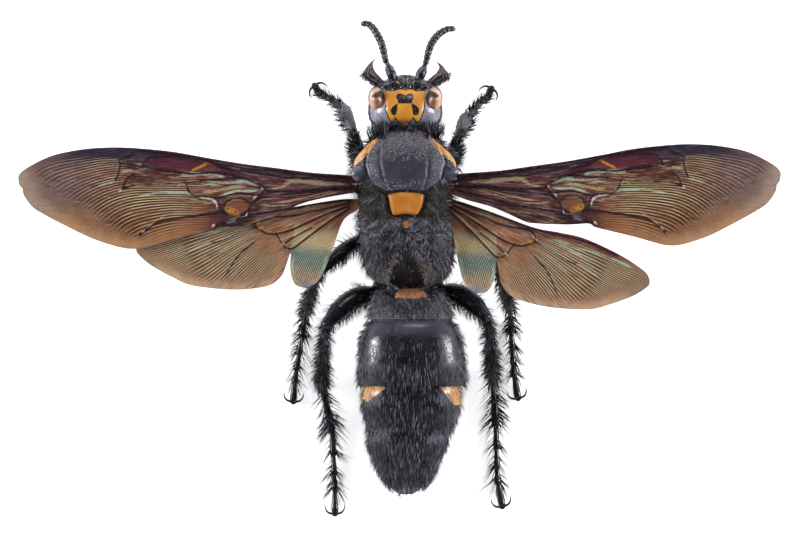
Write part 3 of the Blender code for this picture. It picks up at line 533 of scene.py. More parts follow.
def stipple_mask(points):
    """The grainy places of the shield: both sides, the front and the hind edge."""
    side = step_up(np.abs(points[:, 0] - METANOTUM_SPOT[0]), 3.3, 4.6)
    ends = np.maximum(step_up(-points[:, 1], -14.0, -12.8), step_up(points[:, 1], 16.4, 18.0))
    return shield_mask(points) * np.maximum(side, ends)


def beside_mask(points):
    """The dull black places on both sides of the scutellum."""
    outside = step_up(-depth_inside(*flat(points), SCUTUM), 0.0, 0.3)
    return near_y(7.6, 12.8)(points) * outside * (1 - scutellum_mask(points)) * (points[:, 2] > 9)


def hollow_mask(points):
    """The dark, hairless places: behind the shield on both sides, and the hollow above the waist."""
    return np.maximum(beside_mask(points), above_waist(*flat(points)) * (points[:, 2] > 9))


def above_waist(x, y):
    """1 in the dark hollow above the waist, which narrows to the front."""
    wide = np.interp(y, (-2.5, 0.0, 3.8), (3.2, 2.7, 0.3))
    return step_up(wide - np.abs(x - 1.0), -0.5, 0.5) * step_up(-y, -4.2, -3.2)


# %% The thorax skin
thorax_rows = closed(smooth_line(THORAX_ROWS, 0.14))
thorax_place = raised(trunk(thorax_rows), thorax_relief)
THORAX_MARKS = {
    "shield": shield_mask, "hollow": hollow_mask, "line": line_mask, "plate": scutellum_mask,
    "collar": collar_mask, "stipple": stipple_mask,
    "felt": lambda points: np.maximum(beside_mask(points), 0.45 * stipple_mask(points)),
}
thorax = skin("thorax", [(thorax_place, THORAX_COLUMNS, len(thorax_rows) - 1)], THORAX_MARKS)
thorax_look = shell_look("thorax_shell", 5.0, 0.4, (
    ("shield", "33333f", "272731"), ("hollow", "050508", "100c0e"),
    ("line", "8a8a94", "5c5c66"), ("plate", DEEP_ORANGE, "b06a1a"),
    ("collar", YELLOW, "b07a3c"),
))
seat(thorax, thorax_look, "black_shell", "pronotum", "mesothorax", "scutellum", "metathorax", "propodeum")

# %% [markdown]
# ## The abdomen
# The rings of an abdomen slide into each other like the tube of a telescope, each with a free hind edge
# over the front of the next. The rows of the skin follow that: at the end of a ring they fold in and run
# forward under it before the next ring begins, so the whole abdomen is one closed skin without a gap.

# %% The rings and their outlines
ABDOMEN_SECTIONS = (
    (
        (-2.7, -0.6, 3.8, 5.4, 10), (-3.4, -3.3, 6.2, 4.4, 12.3), (-5, -4.1, 7.1, 3.6, 13.5),
        (-6.8, -4.7, 7.7, 3.2, 13.8), (-7.3, -4.7, 7.7, 3.3, 13.7),
    ),
    (
        (-7.6, -4.3, 7.7, 3.3, 13.1), (-8.6, -5.1, 8.5, 3, 13.7), (-10.2, -5.9, 9.2, 2.8, 14),
        (-13, -6.2, 9.65, 2.6, 14.1), (-16, -6.3, 9.9, 2.5, 13.9), (-17.3, -6.15, 9.75, 2.6, 13.6),
    ),
    (
        (-17.5, -5.4, 8.9, 2.8, 12.7), (-18.6, -5.6, 9, 2.6, 12.8), (-20.5, -5.45, 8.8, 2.5, 12.4),
        (-22.6, -5.15, 8.35, 2.4, 11.7), (-24, -4.95, 7.8, 2.5, 11.1),
    ),
    (
        (-24.2, -4.75, 7.3, 2.5, 10.9), (-25.2, -4.75, 7.2, 2.4, 10.6), (-27, -4.55, 6.7, 2.3, 9.9),
        (-28.5, -4.1, 6.1, 2.4, 9.1),
    ),
    (
        (-28.7, -3.95, 5.95, 2.5, 8.9), (-29.5, -3.6, 5.7, 2.4, 8.4), (-31, -2.9, 5.05, 2.3, 7.3),
        (-32.2, -2.1, 4.3, 2.4, 6.4),
    ),
    ((-32.4, -1.6, 3.6, 2.6, 5.9), (-33.1, -1, 2.9, 2.7, 5.1), (-33.75, 0, 1.9, 3.2, 4.2)),
)
RING_ENDS = [sections[-1][0] for sections in ABDOMEN_SECTIONS]
FOLD_DEEP = (0.5, 0.5, 0.3, 0.25, 0.25)
SWELLS = ((-20.5, 0.24), (-26.3, 0.24), (-30.4, 0.1))
MARKS_FRONT = -17.42
MARKS_MIDDLE = 1.25
SEAM_AT = -7.35
ABDOMEN_COLUMNS = 150
RING_MARK = ((-0.8, -4.15), (-0.6, -3.3), (0.5, -2.8), (2.7, -2.8), (3.8, -3.3), (4.1, -4.05), (1.6, -4.25))
SIDE_MARKS = (
    ((-6.2, -17.3), (-2.0, -17.5), (-3.4, -18.6), (-4.8, -19.8), (-6.2, -19.0)),
    ((10.0, -17.1), (5.9, -17.4), (6.7, -18.6), (8.1, -20.2), (10.0, -20.3)),
)
print("the rings end at y =", RING_ENDS)


# %% The abdomen skin
def abdomen_relief(points, normal):
    """A crease down each side, where the plates of the back lap over those of the belly, and soft swells."""
    side = step_up(-np.abs(points[..., 2] - 5.6), -0.5, 0.0)
    push = -0.3 * side * step_up(np.abs(normal[..., 0]), 0.5, 0.9)
    for y, high in SWELLS:
        push += high * hump(points[..., 1], y, 1.4)
    return push


def ring_reach(points):
    """How far each point is in front of the free edge of its ring."""
    gaps = points[:, 1][:, None] - np.array(RING_ENDS)[None]
    return np.min(np.where(gaps > -0.02, gaps, 99), axis=1)


def abdomen_rows():
    """The rows of the abdomen with a fold between each two rings."""
    rows = [pointed(ABDOMEN_SECTIONS[0][0])]
    for number, sections in enumerate(ABDOMEN_SECTIONS):
        rows.extend(smooth_line(sections, 0.2))
        if number + 1 < len(ABDOMEN_SECTIONS):
            edge, follower = sections[-1], ABDOMEN_SECTIONS[number + 1][0]
            deep = FOLD_DEEP[number]
            rows.append(shrunk(edge, 0.25 * deep, edge[0] - 0.06))
            rows.append(shrunk(edge, 0.6 * deep, edge[0]))
            rows.append(shrunk(edge, deep, edge[0] + 0.4))
            rows.append(shrunk(follower, 0.1, follower[0] + 0.5))
    rows.append(pointed(ABDOMEN_SECTIONS[-1][-1]))
    return rows


belly_rows = abdomen_rows()
abdomen_place = raised(trunk(belly_rows), abdomen_relief)


def side_marks(points):
    """The yellow marks of the third ring, as they are drawn."""
    return inside_any(SIDE_MARKS)(points) * (points[:, 2] > 6.5)


def ring_mark(points):
    return inside_any((RING_MARK,))(points) * (points[:, 2] > 8)


def gold_hair(points):
    """Where the hair is golden: on the yellow marks, but for their foremost edge, and on the rust mark."""
    placed = (points[:, 1] > -10) | (points[:, 1] < MARKS_FRONT - 0.45)
    return (side_marks(points) + ring_mark(points)) * placed


def dull_shell(points):
    """The rear of each ring from the second one on, and the end of the first ring."""
    rear = step_up(-ring_reach(points), -3.6, -2.4) * (points[:, 1] < -8)
    return np.maximum(rear, near_y(-7.9, -4.5)(points))


ABDOMEN_MARKS = {
    "side_mark": lambda points: side_marks(points) * (points[:, 1] < MARKS_FRONT),
    "ring_mark": ring_mark,
    # The band is painted sheen: grey over the end of the first ring and the forward-tilted front of the
    # second.
    "band": lambda points: near_y(-8.6, -7.6, 2.4)(points) * step_up(points[:, 2], 8.0, 12.0),
    "tip": lambda points: step_up(-points[:, 1], 31.9, 32.5),
    "seam": lambda points: hump(points[:, 1], SEAM_AT, 0.16) * step_up(points[:, 2], 9.0, 11.5),
    "felt": dull_shell,
}
GOLD_MARKS = {"gold": gold_hair}
abdomen = skin("abdomen", [(abdomen_place, ABDOMEN_COLUMNS, len(belly_rows) - 1)], ABDOMEN_MARKS)
abdomen_look = shell_look("abdomen_shell", 4.5, 0.265, (
    # The band's grey is painted sheen where the front of the second ring would shine.
    ("band", "4a4952", "3a3942"), ("side_mark", "d0a06a", "bc8648"),
    ("ring_mark", RUST, "965c40"), ("seam", "85856f", "4a4a44"),
    ("tip", "4a221c", "2a1210"),
))
seat(abdomen, abdomen_look, "black_shell", *[f"abdomen_{number}" for number in range(1, 7)])

# %% [markdown]
# ## The head
# The face decides whether a model lives, so the head has the finest grid of all. Its orange plate is drawn
# as one outline and the black spots in it as three more. A point is orange where it is inside the plate and
# outside the spots, and the plate is raised a little over the shell round it.

# %% The outlines of the head
HEAD_SECTIONS = (
    (29.05, 0.1, 1.6, 7.6, 9.2), (28.75, -1.3, 3, 6.6, 10), (28.2, -2.3, 4, 6, 10.7),
    (27.3, -3.4, 5, 5.4, 11.7), (26, -4.35, 6, 5, 12.7), (24.4, -4.75, 6.35, 4.8, 13.2),
    (23, -4.72, 6.32, 5, 13.1), (22, -4.25, 5.85, 5.6, 12.5), (21.4, -3.1, 4.7, 6.6, 11.6),
    (21.15, -1.4, 3, 7.6, 10.6),
)
PLATE = (
    (-2.45, 26.6), (-2.2, 26.85), (-1, 26.8), (0.2, 27.1), (1.5, 27.1), (2.6, 26.8), (3.9, 26.8),
    (3.95, 26.4), (3.7, 25.4), (3.5, 24.4), (3.3, 23.4), (2.75, 22.2), (2.4, 22.3), (2, 22.9), (1.6, 22.35),
    (1.1, 21.85), (0.6, 21.65), (0.15, 21.95), (-0.35, 22.4), (-0.65, 22.9), (-0.9, 22.5), (-1.2, 22.2),
    (-1.75, 23.1), (-2, 24.1), (-2.15, 25.2),
)
CROWN_SPOT = (
    (-0.55, 26.1), (-0.3, 26.42), (0.15, 26.42), (0.5, 26.25), (1, 26.25), (1.4, 26.45), (1.85, 26.35),
    (2.05, 26), (1.9, 25.5), (1.65, 25), (0.75, 24.95), (-0.2, 25), (-0.35, 25.4), (-0.55, 25.8),
)
CHEEK_SPOTS = (
    (
        (-0.35, 24.95), (-0.65, 24.8), (-1.15, 24.4), (-1.4, 23.9), (-1.2, 23.35), (-0.85, 23.2),
        (-0.55, 23.4), (-0.42, 24.1),
    ),
    (
        (1.7, 24.95), (2.1, 24.8), (2.6, 24.45), (2.85, 24), (2.75, 23.4), (2.35, 23.15), (1.98, 23.3),
        (1.85, 24.1),
    ),
)
PLATE_LINE = smooth_line([*PLATE, PLATE[0]], 0.25)[:-1]
SPOT_LINES = [smooth_line([*spot, spot[0]], 0.15)[:-1] for spot in (CROWN_SPOT, *CHEEK_SPOTS)]
SOCKETS = ((-0.75, 27.65), (2.4, 27.65))
SOCKET_ROUND = (1.0, 1 / 1.2)
ORBITS = ((-3.5, 25.5), (5.12, 25.5))
ORBIT_HALF = (1.2, 1.8)
HEAD_MIDDLE = 0.81
HEAD_COLUMNS, HEAD_SQUARE = 380, 0.94
FACE_STROKES = (
    ((0.5, 28), (0.55, 28.55), (1.1, 28.55), (1.15, 28)), ((0.55, 28.25), (1.1, 28.25)),
    ((0.3, 28.7), (1.35, 28.7)), ((-2.6, 27.45), (-3.2, 27.35), (-3.7, 27)),
    ((4.2, 27.45), (4.8, 27.35), (5.3, 27)), ((-2.4, 27), (-2.9, 26.9)), ((4, 27), (4.5, 26.9)),
    ((-1.9, 27.9), (-1.6, 28.2)), ((3.5, 27.9), (3.2, 28.2)),
)
STROKE_DROP = 1.6
FIRST_OCELLUS = (0.75, 25.85)
print("the orange plate is drawn with", len(PLATE_LINE), "points")


# %% The relief and the marks of the head
def plate_depth(x, y):
    """How deep a point is in the orange: inside the plate and outside its black spots."""
    spots = np.max([depth_inside(x, y, spot) for spot in SPOT_LINES], axis=0)
    return np.minimum(depth_inside(x, y, PLATE_LINE), -spots)


def head_relief(points, normal):
    x, y = flat(points)
    push = 0.08 * step_up(depth_inside(x, y, PLATE_LINE), -0.1, 0.25)
    push -= 0.22 * hump(x, 0.8, 0.14) * step_up(y, 26.5, 27.2)
    push -= 0.35 * hump(y, 27.35, 0.25) * step_up(3.6 - np.abs(x - 0.8), 0.0, 0.8)
    for socket in SOCKETS:
        reach = away(points, socket, SOCKET_ROUND)
        push += 0.28 * hump(reach, 0.75, 0.16) - 0.3 * step_up(-reach, -0.65, -0.4)
    push += 0.16 * hump(away(points, FIRST_OCELLUS), 0.0, 0.22)
    return push * step_up(normal[..., 2], -0.2, 0.3)


def plate_mask(points):
    deep = plate_depth(*flat(points))
    return edge_of(deep, 0.16) * (points[:, 2] > 9)


def temple_sheen_mask(points):
    """Painted sheen: the smooth sides of the head behind the eyes and, fainter, the strips between eyes and
    plate.
    """
    beside = step_up(-depth_inside(*flat(points), PLATE_LINE), 0.05, 0.3)
    strips = 0.7 * near_y(24.3, 26.3, 0.5)(points) * (np.abs(points[:, 0] - HEAD_MIDDLE) < 4.0)
    return beside * np.maximum(near_y(21.9, 24.3, 0.5)(points), strips) * step_up(points[:, 2], 10.2, 11.0)


def orbit_mask(points):
    """The thin pale rims round the inner sides of the eyes."""
    reach = np.min([away(points, orbit, ORBIT_HALF) for orbit in ORBITS], axis=0)
    return hump(reach, 1.1, 0.07) * near_y(24.0, 26.7)(points) * (np.abs(points[:, 0] - HEAD_MIDDLE) < 4.2)


def socket_mask(points):
    reach = np.min([away(points, socket, SOCKET_ROUND) for socket in SOCKETS], axis=0)
    ring = hump(reach, 0.7, 0.13) * step_up(points[:, 1], 27.7, 28.1)
    strokes = np.max([hump(distance_to(*flat(points), line), 0.0, 0.1) for line in FACE_STROKES], axis=0)
    eyelet = hump(away(points, FIRST_OCELLUS), 0.25, 0.07) * 0.7
    top = np.interp(-points[:, 1], [-row[0] for row in HEAD_SECTIONS], [row[4] for row in HEAD_SECTIONS])
    return np.maximum(np.maximum(ring, eyelet), strokes * 0.8) * (points[:, 2] > top - STROKE_DROP)


# %% The head skin
head_rows = closed(smooth_line(HEAD_SECTIONS, 0.07))
head_place = raised(trunk(head_rows, HEAD_SQUARE), head_relief)
HEAD_MARKS = {
    "felt": lambda points: 0.6 * plate_mask(points), "orbit": orbit_mask, "plate": plate_mask,
    "socket": socket_mask, "temple_sheen": temple_sheen_mask,
}
head = skin("head_capsule", [(head_place, HEAD_COLUMNS, len(head_rows) - 1)], HEAD_MARKS)
head_look = shell_look("head_shell", 7.0, 0.2, (
    # The temple mark is painted sheen: light lilac grey where the sides of the head would reflect the soft
    # boxes.
    ("temple_sheen", "9a98a6", "706e7a"), ("orbit", "b4b0bc", "8c8894"),
    ("plate", ORANGE, "c27a1c"), ("socket", "c0aa8c", "7a6c5a"),
))
seat(head, head_look, "orange_plate", "head")

# %% [markdown]
# ## Limbs
# Jaws, feelers and legs are tubes round a line. Each row of a limb has its own half width, and the ends are
# closed by rounded caps that reach a little into the next piece, as the ball of a real joint does. A limb
# can be deeper than it is wide, and a relief can ring it or ridge it.

# %% Tubes round a line
def capped(line, halves, reach=0.8, steps=5):
    """The rows of a limb with a rounded cap on both ends. The reach is a share of the end's half width."""
    line, halves = np.array(line, float), np.array(halves, float)
    turns = np.linspace(0, math.pi / 2, steps, endpoint=False)
    first, last = unit(line[1] - line[0]), unit(line[-1] - line[-2])
    front = [line[0] - first * halves[0] * reach * math.cos(turn) for turn in turns]
    back = [line[-1] + last * halves[-1] * reach * math.cos(turn) for turn in turns[::-1]]
    rims = np.sin(turns)
    return np.vstack([front, line, back]), np.concatenate([rims * halves[0], halves,
        rims[::-1] * halves[-1]])


def limb(line, halves, deep=1.0, relief=None):
    """The place function of a limb. u runs round it and v along it."""
    line, halves = np.array(line, float), np.array(halves, float)
    stops = np.arange(len(line))
    run = unit(np.gradient(line, axis=0))
    level = unit(np.cross(run, (0.0, 0.0, 1.0)))
    upright = np.cross(level, run)

    def place(u, v):
        at = np.asarray(v) * (len(line) - 1)
        turn = 2 * math.pi * np.asarray(u)
        centre, side, up = (np.stack([np.interp(at, stops, part[:, k]) for k in range(3)], -1)
                            for part in (line, level, upright))
        half = np.interp(at, stops, halves)[..., None]
        return centre + side * half * np.cos(turn)[..., None] + up * half * deep * np.sin(turn)[..., None]
    return raised(place, relief) if relief else place


def blade(rows, deep):
    """The place function of a flat blade. A row is a point of its outer and of its inner edge, and z."""
    rows = np.array(rows, float)
    stops = np.arange(len(rows))
    middle = rows[len(rows) // 2]
    way = 1 if middle[0] > middle[2] else -1

    def place(u, v):
        at = np.asarray(v) * (len(rows) - 1)
        ox, oy, ix, iy, z = (np.interp(at, stops, column) for column in rows.T)
        turn = 2 * math.pi * np.asarray(u)
        wide, lift = np.cos(turn) / 2, way * np.sin(turn) / 2 * deep * np.hypot(ox - ix, oy - iy)
        return np.stack([(ox + ix) / 2 + (ox - ix) * wide, (oy + iy) / 2 + (oy - iy) * wide, z + lift], -1)
    return place


def along_profile(profile, shares, scale=1.0):
    """Half widths read from a profile of (share of the length, half width) pairs."""
    places, halves = zip(*profile)
    return np.interp(shares, places, halves) * scale


def shaped(line, profile, scale=1.0, reach=0.8):
    """The rows of a limb whose half widths follow a profile."""
    return capped(line, along_profile(profile, np.linspace(0, 1, len(line)), scale), reach)


print("rows of a short capped limb:", len(capped(((0, 0, 0), (0, 1, 0)), (1, 1))[0]))

# %% [markdown]
# ## Eyes
# A compound eye is thousands of tiny lenses. From above they melt into a satin, pinkish tan with a darker
# false pupil that is only a shadow between the lenses. A flattened ball sits in the socket of the head, and
# fine cells in its bump are the lenses. Its dark smudge is a mark written at the corners.

# %% The eyes
EYES = {"left": (-3.5, 25.6, 10.5, 10.0), "right": (5.12, 25.6, 10.5, -10.0)}
EYE_HALF = (1.27, 1.9, 2.45)
EYE_NOTCH = ((1.3, 1.6), (0.5, 1.3), (-0.2, 1), (-0.75, 0.5), (-0.5, 0.1), (0, 0.2),
    (0.45, 0.35), (0.75, 0),
             (0.9, -0.6), (0.75, -1.4), (1.4, -1.5), (1.9, 0))
EYE_PUPIL = (0.25, -0.4, 0.95)


def ball_place(middle, halves, turn=0.0):
    """The place function of a flattened ball, turned about the upright axis by some degrees."""
    cos, sin = math.cos(math.radians(turn)), math.sin(math.radians(turn))

    def place(u, v):
        round_it, down = 2 * math.pi * np.asarray(u), math.pi * np.asarray(v)
        x = halves[0] * np.cos(round_it) * np.sin(down)
        y = -halves[1] * np.sin(round_it) * np.sin(down)
        z = halves[2] * np.cos(down)
        return np.stack([middle[0] + x * cos - y * sin, middle[1] + x * sin + y * cos, middle[2] + z], -1)
    return place


def eye_look():
    """Satin tan with a darker ring and rim, and a black notch that has ragged edges."""
    look = Look("eye_lens")
    place = look.place()
    cloud = look.noise(place, 1.2, 3.0)
    dark = (look.mark("notch") + (look.noise(place, 4.0, 3.0) - 0.5) * 0.5).step(0.3, 0.7)
    tint = look.blend(cloud.step(0.35, 0.7), "dfb090", "c09070")
    tint = look.blend(look.mark("inner") + (cloud - 0.5) * 0.5, tint, "86583f")
    tint = look.blend(look.mark("edge"), tint, "3a2420")
    tint = look.blend(dark * 0.96, tint, "0e0e16")
    look.set(Base_Color=tint, Roughness=0.38 + dark * 0.2, Coat_Weight=0.12, Coat_Roughness=0.3)
    look.bump(look.pits(place, 12.0), 0.012, 0.5)
    return look


lens = eye_look()
for side, (x, y, z, turn) in EYES.items():
    way = 1 if side == "left" else -1
    notch = [(x + way * nx, y + ny) for nx, ny in EYE_NOTCH]
    marks = {
        "notch": lambda p: edge_of(depth_inside(*flat(p), notch), 0.4),
        "inner": lambda p: hump(np.hypot(p[:, 0] - x - way * EYE_PUPIL[0], p[:, 1] - y - EYE_PUPIL[1]),
            0.0, EYE_PUPIL[2])
        + 0.8 * hump(np.hypot(p[:, 0] - x - way * 0.3, p[:, 1] - y + 0.5), 1.05, 0.22)
            * step_up((p[:, 0] - x) * way, -0.3, 0.3),
        "edge": lambda p: step_up(
            np.hypot((p[:, 0] - x) / EYE_HALF[0], (p[:, 1] - y) / EYE_HALF[1]), 0.8, 0.97),
    }
    ball = (ball_place((x, y, z), EYE_HALF, turn), 72, 48)
    seat(skin(f"eye_skin_{side}", [ball], marks), lens, "eye", f"eye_{side}")

# %% [markdown]
# ## Jaws and feelers
# The jaws are flat sickles with long ridges. Their edges are drawn, and a wave across them makes the ridges.
# A feeler is a thick first joint and a whip of twelve beads, of which only faint rings show.

# %% Jaws and feelers
MANDIBLES = {
    "left": (
        (-2.5, 27.5, -2.5, 27.5, 7.4), (-3, 27.5, -2, 27.95, 7.4), (-3.9, 28.05, -2.5, 28.45, 7.3),
        (-4.75, 28.65, -2.95, 28.9, 7.15), (-5.65, 29.1, -3.4, 29.4, 7), (-5.4, 29.85, -3.85, 29.95, 6.85),
        (-4.95, 30.6, -4.1, 30.6, 6.7), (-4.3, 31.25, -4.1, 31.15, 6.6), (-3.66, 31.74, -3.66, 31.74, 6.5),
    ),
    "right": (
        (4.1, 27.5, 4.1, 27.5, 7.4), (4.6, 27.4, 3.7, 27.95, 7.4), (5.5, 28, 4.1, 28.45, 7.3),
        (6.4, 28.5, 4.6, 28.85, 7.15), (7.4, 29.05, 5.1, 29.3, 7), (7.05, 29.75, 5.6, 29.75, 6.85),
        (6.5, 30.5, 5.95, 30.35, 6.7), (6, 30.95, 5.85, 30.75, 6.6), (5.46, 31.34, 5.46, 31.34, 6.5),
    ),
}
SCAPES = {
    "left": ((-0.75, 27.7, 9.2), (-1.25, 29.3, 9.6), (-1.75, 30.6, 9.6)),
    "right": ((2.45, 27.7, 9.2), (3.05, 29.2, 9.6), (3.6, 30.35, 9.6)),
}
FLAGELLA = {
    "left": (
        (-1.7, 30.45, 9.6), (-1.95, 31, 9.5), (-2.2, 31.6, 9.3), (-2.5, 33, 8.9), (-2.9, 34.3, 8.3),
        (-3.5, 35.5, 7.7), (-4.2, 36.5, 7.2), (-4.9, 37, 6.8), (-5.65, 36.98, 6.5),
    ),
    "right": (
        (3.55, 30.2, 9.6), (3.75, 30.75, 9.5), (3.98, 31.5, 9.3), (4.35, 33, 8.9), (4.9, 34.3, 8.3),
        (5.7, 35.3, 7.7), (6.6, 35.95, 7.2), (7.5, 36.25, 6.8), (8.1, 36.2, 6.5),
    ),
}
SCAPE_PROFILE = ((0.0, 0.36), (0.2, 0.52), (0.6, 0.74), (0.88, 0.68), (1.0, 0.45))
FLAGELLUM_PROFILE = ((0.0, 0.28), (0.07, 0.38), (0.1, 0.46), (0.3, 0.6), (0.6, 0.62),
    (0.85, 0.54), (1.0, 0.45))
BEADS = 12
RIDGE_COUNT = 14
JAW_DEEP = 0.6

jaw_look = Look("jaw_horn")
grain = jaw_look.noise(jaw_look.place(), 2.5, 4.0, 0.7)
ridge = jaw_look.mark("ridge")
horn = jaw_look.blend(grain.step(0.35, 0.7), "66575a", "a09092")
jaw_look.set(Base_Color=jaw_look.blend(ridge.step(0.2, 0.8), "120d10", horn), Roughness=0.4)
jaw_look.bump(grain, 0.05)
feeler_look = Look("feeler_skin")
# Light grey patches over the black: partly mottled down, partly painted glints where the feelers would
# shine.
down = feeler_look.noise(feeler_look.place(), 1.1, 5.0, 0.7)
feeler_look.set(Base_Color=feeler_look.blend(down.step(0.5, 0.66), "060609", "5e5d69"), Roughness=0.24,
    Specular_IOR_Level=0.55)
feeler_look.bump(down, 0.2)


def ridge_height(rows, points):
    """1 on a ridge of a jaw and 0 in a groove, from how far a point lies beside the middle of the blade."""
    middle, half = (rows[:, 0:2] + rows[:, 2:4]) / 2, (rows[:, 0:2] - rows[:, 2:4]) / 2
    near = np.argmin(np.linalg.norm(points[:, None, :2] - middle[None], axis=-1), axis=1)
    offset = (np.sum((points[:, :2] - middle[near]) * half[near], axis=-1)
        / (np.sum(half[near] ** 2, axis=-1) + 1e-3))
    return 0.5 + 0.5 * np.cos(RIDGE_COUNT * np.arccos(np.clip(offset, -1, 1)))


def jaw_place(rows):
    """The blade of a jaw, with a ridge wherever its finish is light."""
    return raised(blade(rows, JAW_DEEP),
        lambda points, normal: 0.07 * ridge_height(rows, points.reshape(-1, 3)).reshape(points.shape[:-1]))


JAW_ROWS = {side: smooth_line(rows, 0.16) for side, rows in MANDIBLES.items()}
for side in ("left", "right"):
    jaw_rows = JAW_ROWS[side]
    marks = {"ridge": lambda p: ridge_height(jaw_rows, p)}
    jaw = skin(f"jaw_{side}", [(jaw_place(jaw_rows), 128, 2 * len(jaw_rows))], marks)
    seat(jaw, jaw_look, "jaw", f"mandible_{side}")

# %% The feelers
SCAPE_PLACES = {}
for side in ("left", "right"):
    rows, halves = shaped(smooth_line(SCAPES[side], 0.08), SCAPE_PROFILE)
    SCAPE_PLACES[side] = limb(rows, halves)
    patches = [(SCAPE_PLACES[side], 28, len(rows) - 1)]
    line = smooth_line(FLAGELLA[side], 0.06)
    shares = np.linspace(0, 1, len(line))
    bead = (shares * BEADS) % 1.0
    rings = 1 - 0.2 * hump(bead, 0.0, 0.15) - 0.2 * hump(bead, 1.0, 0.15)
    rows, halves = capped(line, along_profile(FLAGELLUM_PROFILE, shares) * rings)
    patches.append((limb(rows, halves), 24, len(rows) - 1))
    seat(skin(f"feeler_{side}", patches), feeler_look, "feeler", f"scape_{side}", f"flagellum_{side}")

# %% [markdown]
# ## Wing roots
# Over each wing root lies the tegula, a small scale of smooth grey horn, and behind it a knot of plates.
# The scale is a flattened ball, and a few short, fat limbs make the knot where the veins run together.

# %% Tegulae and hinge plates
TEGULAE = {"left": (-6.0, 14.45, 13.5), "right": (7.35, 14.75, 13.5)}
TEGULA_HALF = (1.3, 1.15, 0.6)
TEGULA_TURN = 24.0
HINGES = (
    ((5.6, 13.3, 12.6), (6.9, 13.5, 12.75), (8.3, 13.7, 12.4), 0.5),
    ((5.9, 12.5, 12.5), (7.1, 12.9, 12.65), (8.6, 12.9, 12.3), 0.42),
    ((5.7, 11.7, 12.3), (6.6, 12, 12.5), (7.8, 12.3, 12.3), 0.38),
    ((6, 10.9, 11.9), (6.8, 11.2, 12.1), (8.2, 11.6, 12), 0.36),
    ((5.5, 10.2, 11.7), (6.5, 10.4, 11.8), (7.6, 10.3, 11.3), 0.34),
    ((6.3, 9.6, 11.3), (6.9, 9.9, 11.5), (7.9, 9.6, 11.1), 0.28),
    ((5.2, 12.6, 12.6), (5.7, 11.6, 12.7), (5.6, 10.4, 12.3), 0.3),
)
BODY_MIDDLE = 0.85
tegula_look = shell_look("tegula_shell", 6.0, 0.22)
cloud = tegula_look.noise(tegula_look.place(), 0.8, 3.0)
scale_tint = tegula_look.blend(cloud.step(0.3, 0.7), "3c3a44", "6e6b77")
glint = tegula_look.noise(tegula_look.place(), 2.2, 2.0).step(0.5, 0.62)
knot_tint = tegula_look.blend(glint, "1a1213", "6c5648")
tegula_look.set(Base_Color=tegula_look.blend(tegula_look.mark("knot"), scale_tint, knot_tint))
for side, middle in TEGULAE.items():
    way = -1 if side == "left" else 1
    patches = [(ball_place(middle, TEGULA_HALF, -way * TEGULA_TURN), 48, 24)]
    for *points, half in HINGES:
        line = smooth_line(
            [(BODY_MIDDLE + way * (px - BODY_MIDDLE), py, pz) for px, py, pz in points], 0.15)
        rows, halves = capped(line, half * (1 - 0.45 * np.linspace(0, 1, len(line))))
        patches.append((limb(rows, halves, 0.7), 18, len(rows) - 1))
    marks = {"knot": lambda points: step_up(-points[:, 1], -13.7, -13.2)}
    seat(skin(f"wing_root_{side}", patches, marks), tegula_look, "wing_plate", f"tegula_{side}")

# %% [markdown]
# ## The wings
# A wing is a film that veins hold open. All four are drawn as right wings, in flat coordinates, and fitted
# to their side: the left ones are mirrored, and the left hindwing is swept forward a little. The drawn
# coordinates stay with every corner as two values, so that one finish paints both sides alike.

# %% The wing outlines
WING_THICK = 0.07
WING_HEIGHT = 12.0
HINDWING_DROP = 0.95
WING_RISE, WING_ARCH, WING_DROOP = 2.2, 0.7, 0.25
VEIN_FOLD = 0.16
FOREWING_ROOT, HINDWING_ROOT = (8.1, 13.7), (6.4, 10.5)
WING_FITS = {
    "forewing_right": (FOREWING_ROOT, 1, 1.0, 0.0), "forewing_left": ((-5.8, 13.4), -1, 1.05, -0.3),
    "hindwing_right": (HINDWING_ROOT, 1, 1.0, 0.0), "hindwing_left": ((-6.9, 10.3), -1, 1.0, 9.4),
}
FOREWING_FRONT = (
    (7.2, 13.5), (8.8, 14.35), (15, 14.9), (20, 15.6), (25, 16.3), (30, 17.2), (35, 18.15), (40, 18.7),
    (43.5, 18.86), (47.3, 18.65), (51, 18), (53.4, 17.15), (55.9, 15.75), (56.9, 14.8), (57, 14.2),
)
FOREWING_REAR = {
    "right": (
        (7.2, 11.6), (10, 10.5), (12.75, 9.75), (15, 8.95), (18.4, 7.4), (20, 7), (25, 6.8), (28.2, 6.95),
        (29, 6.5),
    ),
    "left": (
        (7.2, 12.1), (9.6, 11.8), (14, 11), (17.3, 10), (21.6, 7.8), (26.2, 6.9), (28.4, 6.9), (29.2, 6.5),
    ),
}
FOREWING_OUTER = (
    (30, 6.2), (35, 5), (38.7, 3.95), (40.5, 3.65), (42.6, 3.9), (46.3, 5.15), (50, 7), (53.25, 8.8),
    (55, 10), (56.25, 11.8), (56.3, 12.6), (56.85, 13.3), (57, 14.2),
)
HINDWING_FRONT = (
    (5.6, 11.0), (8.6, 10.4), (13.7, 8.7), (20.0, 6.4), (24.0, 5.6), (27.75, 4.7), (33.0, 2.25),
        (36.4, 0.0), (37.3, -1.1), (37.35, -1.7),
)
HINDWING_REAR = (
    (5.6, 9.4), (7.5, 7.4), (8.3, 3.4), (9, 0), (9.5, -1.6), (10.5, -3), (12.2, -3.5), (13.4, -2.9),
    (14.2, -1), (14.5, 1.3), (14.85, -0.6), (15.4, -2.5), (17.25, -4.2), (22, -5.5), (28.1, -5.9),
    (31.3, -5.2), (35, -3.85), (37.2, -2.4), (37.35, -1.7),
)
print("points of the right wings' edges:", len(FOREWING_OUTER) + len(FOREWING_FRONT) + len(HINDWING_FRONT)
    + len(HINDWING_REAR))


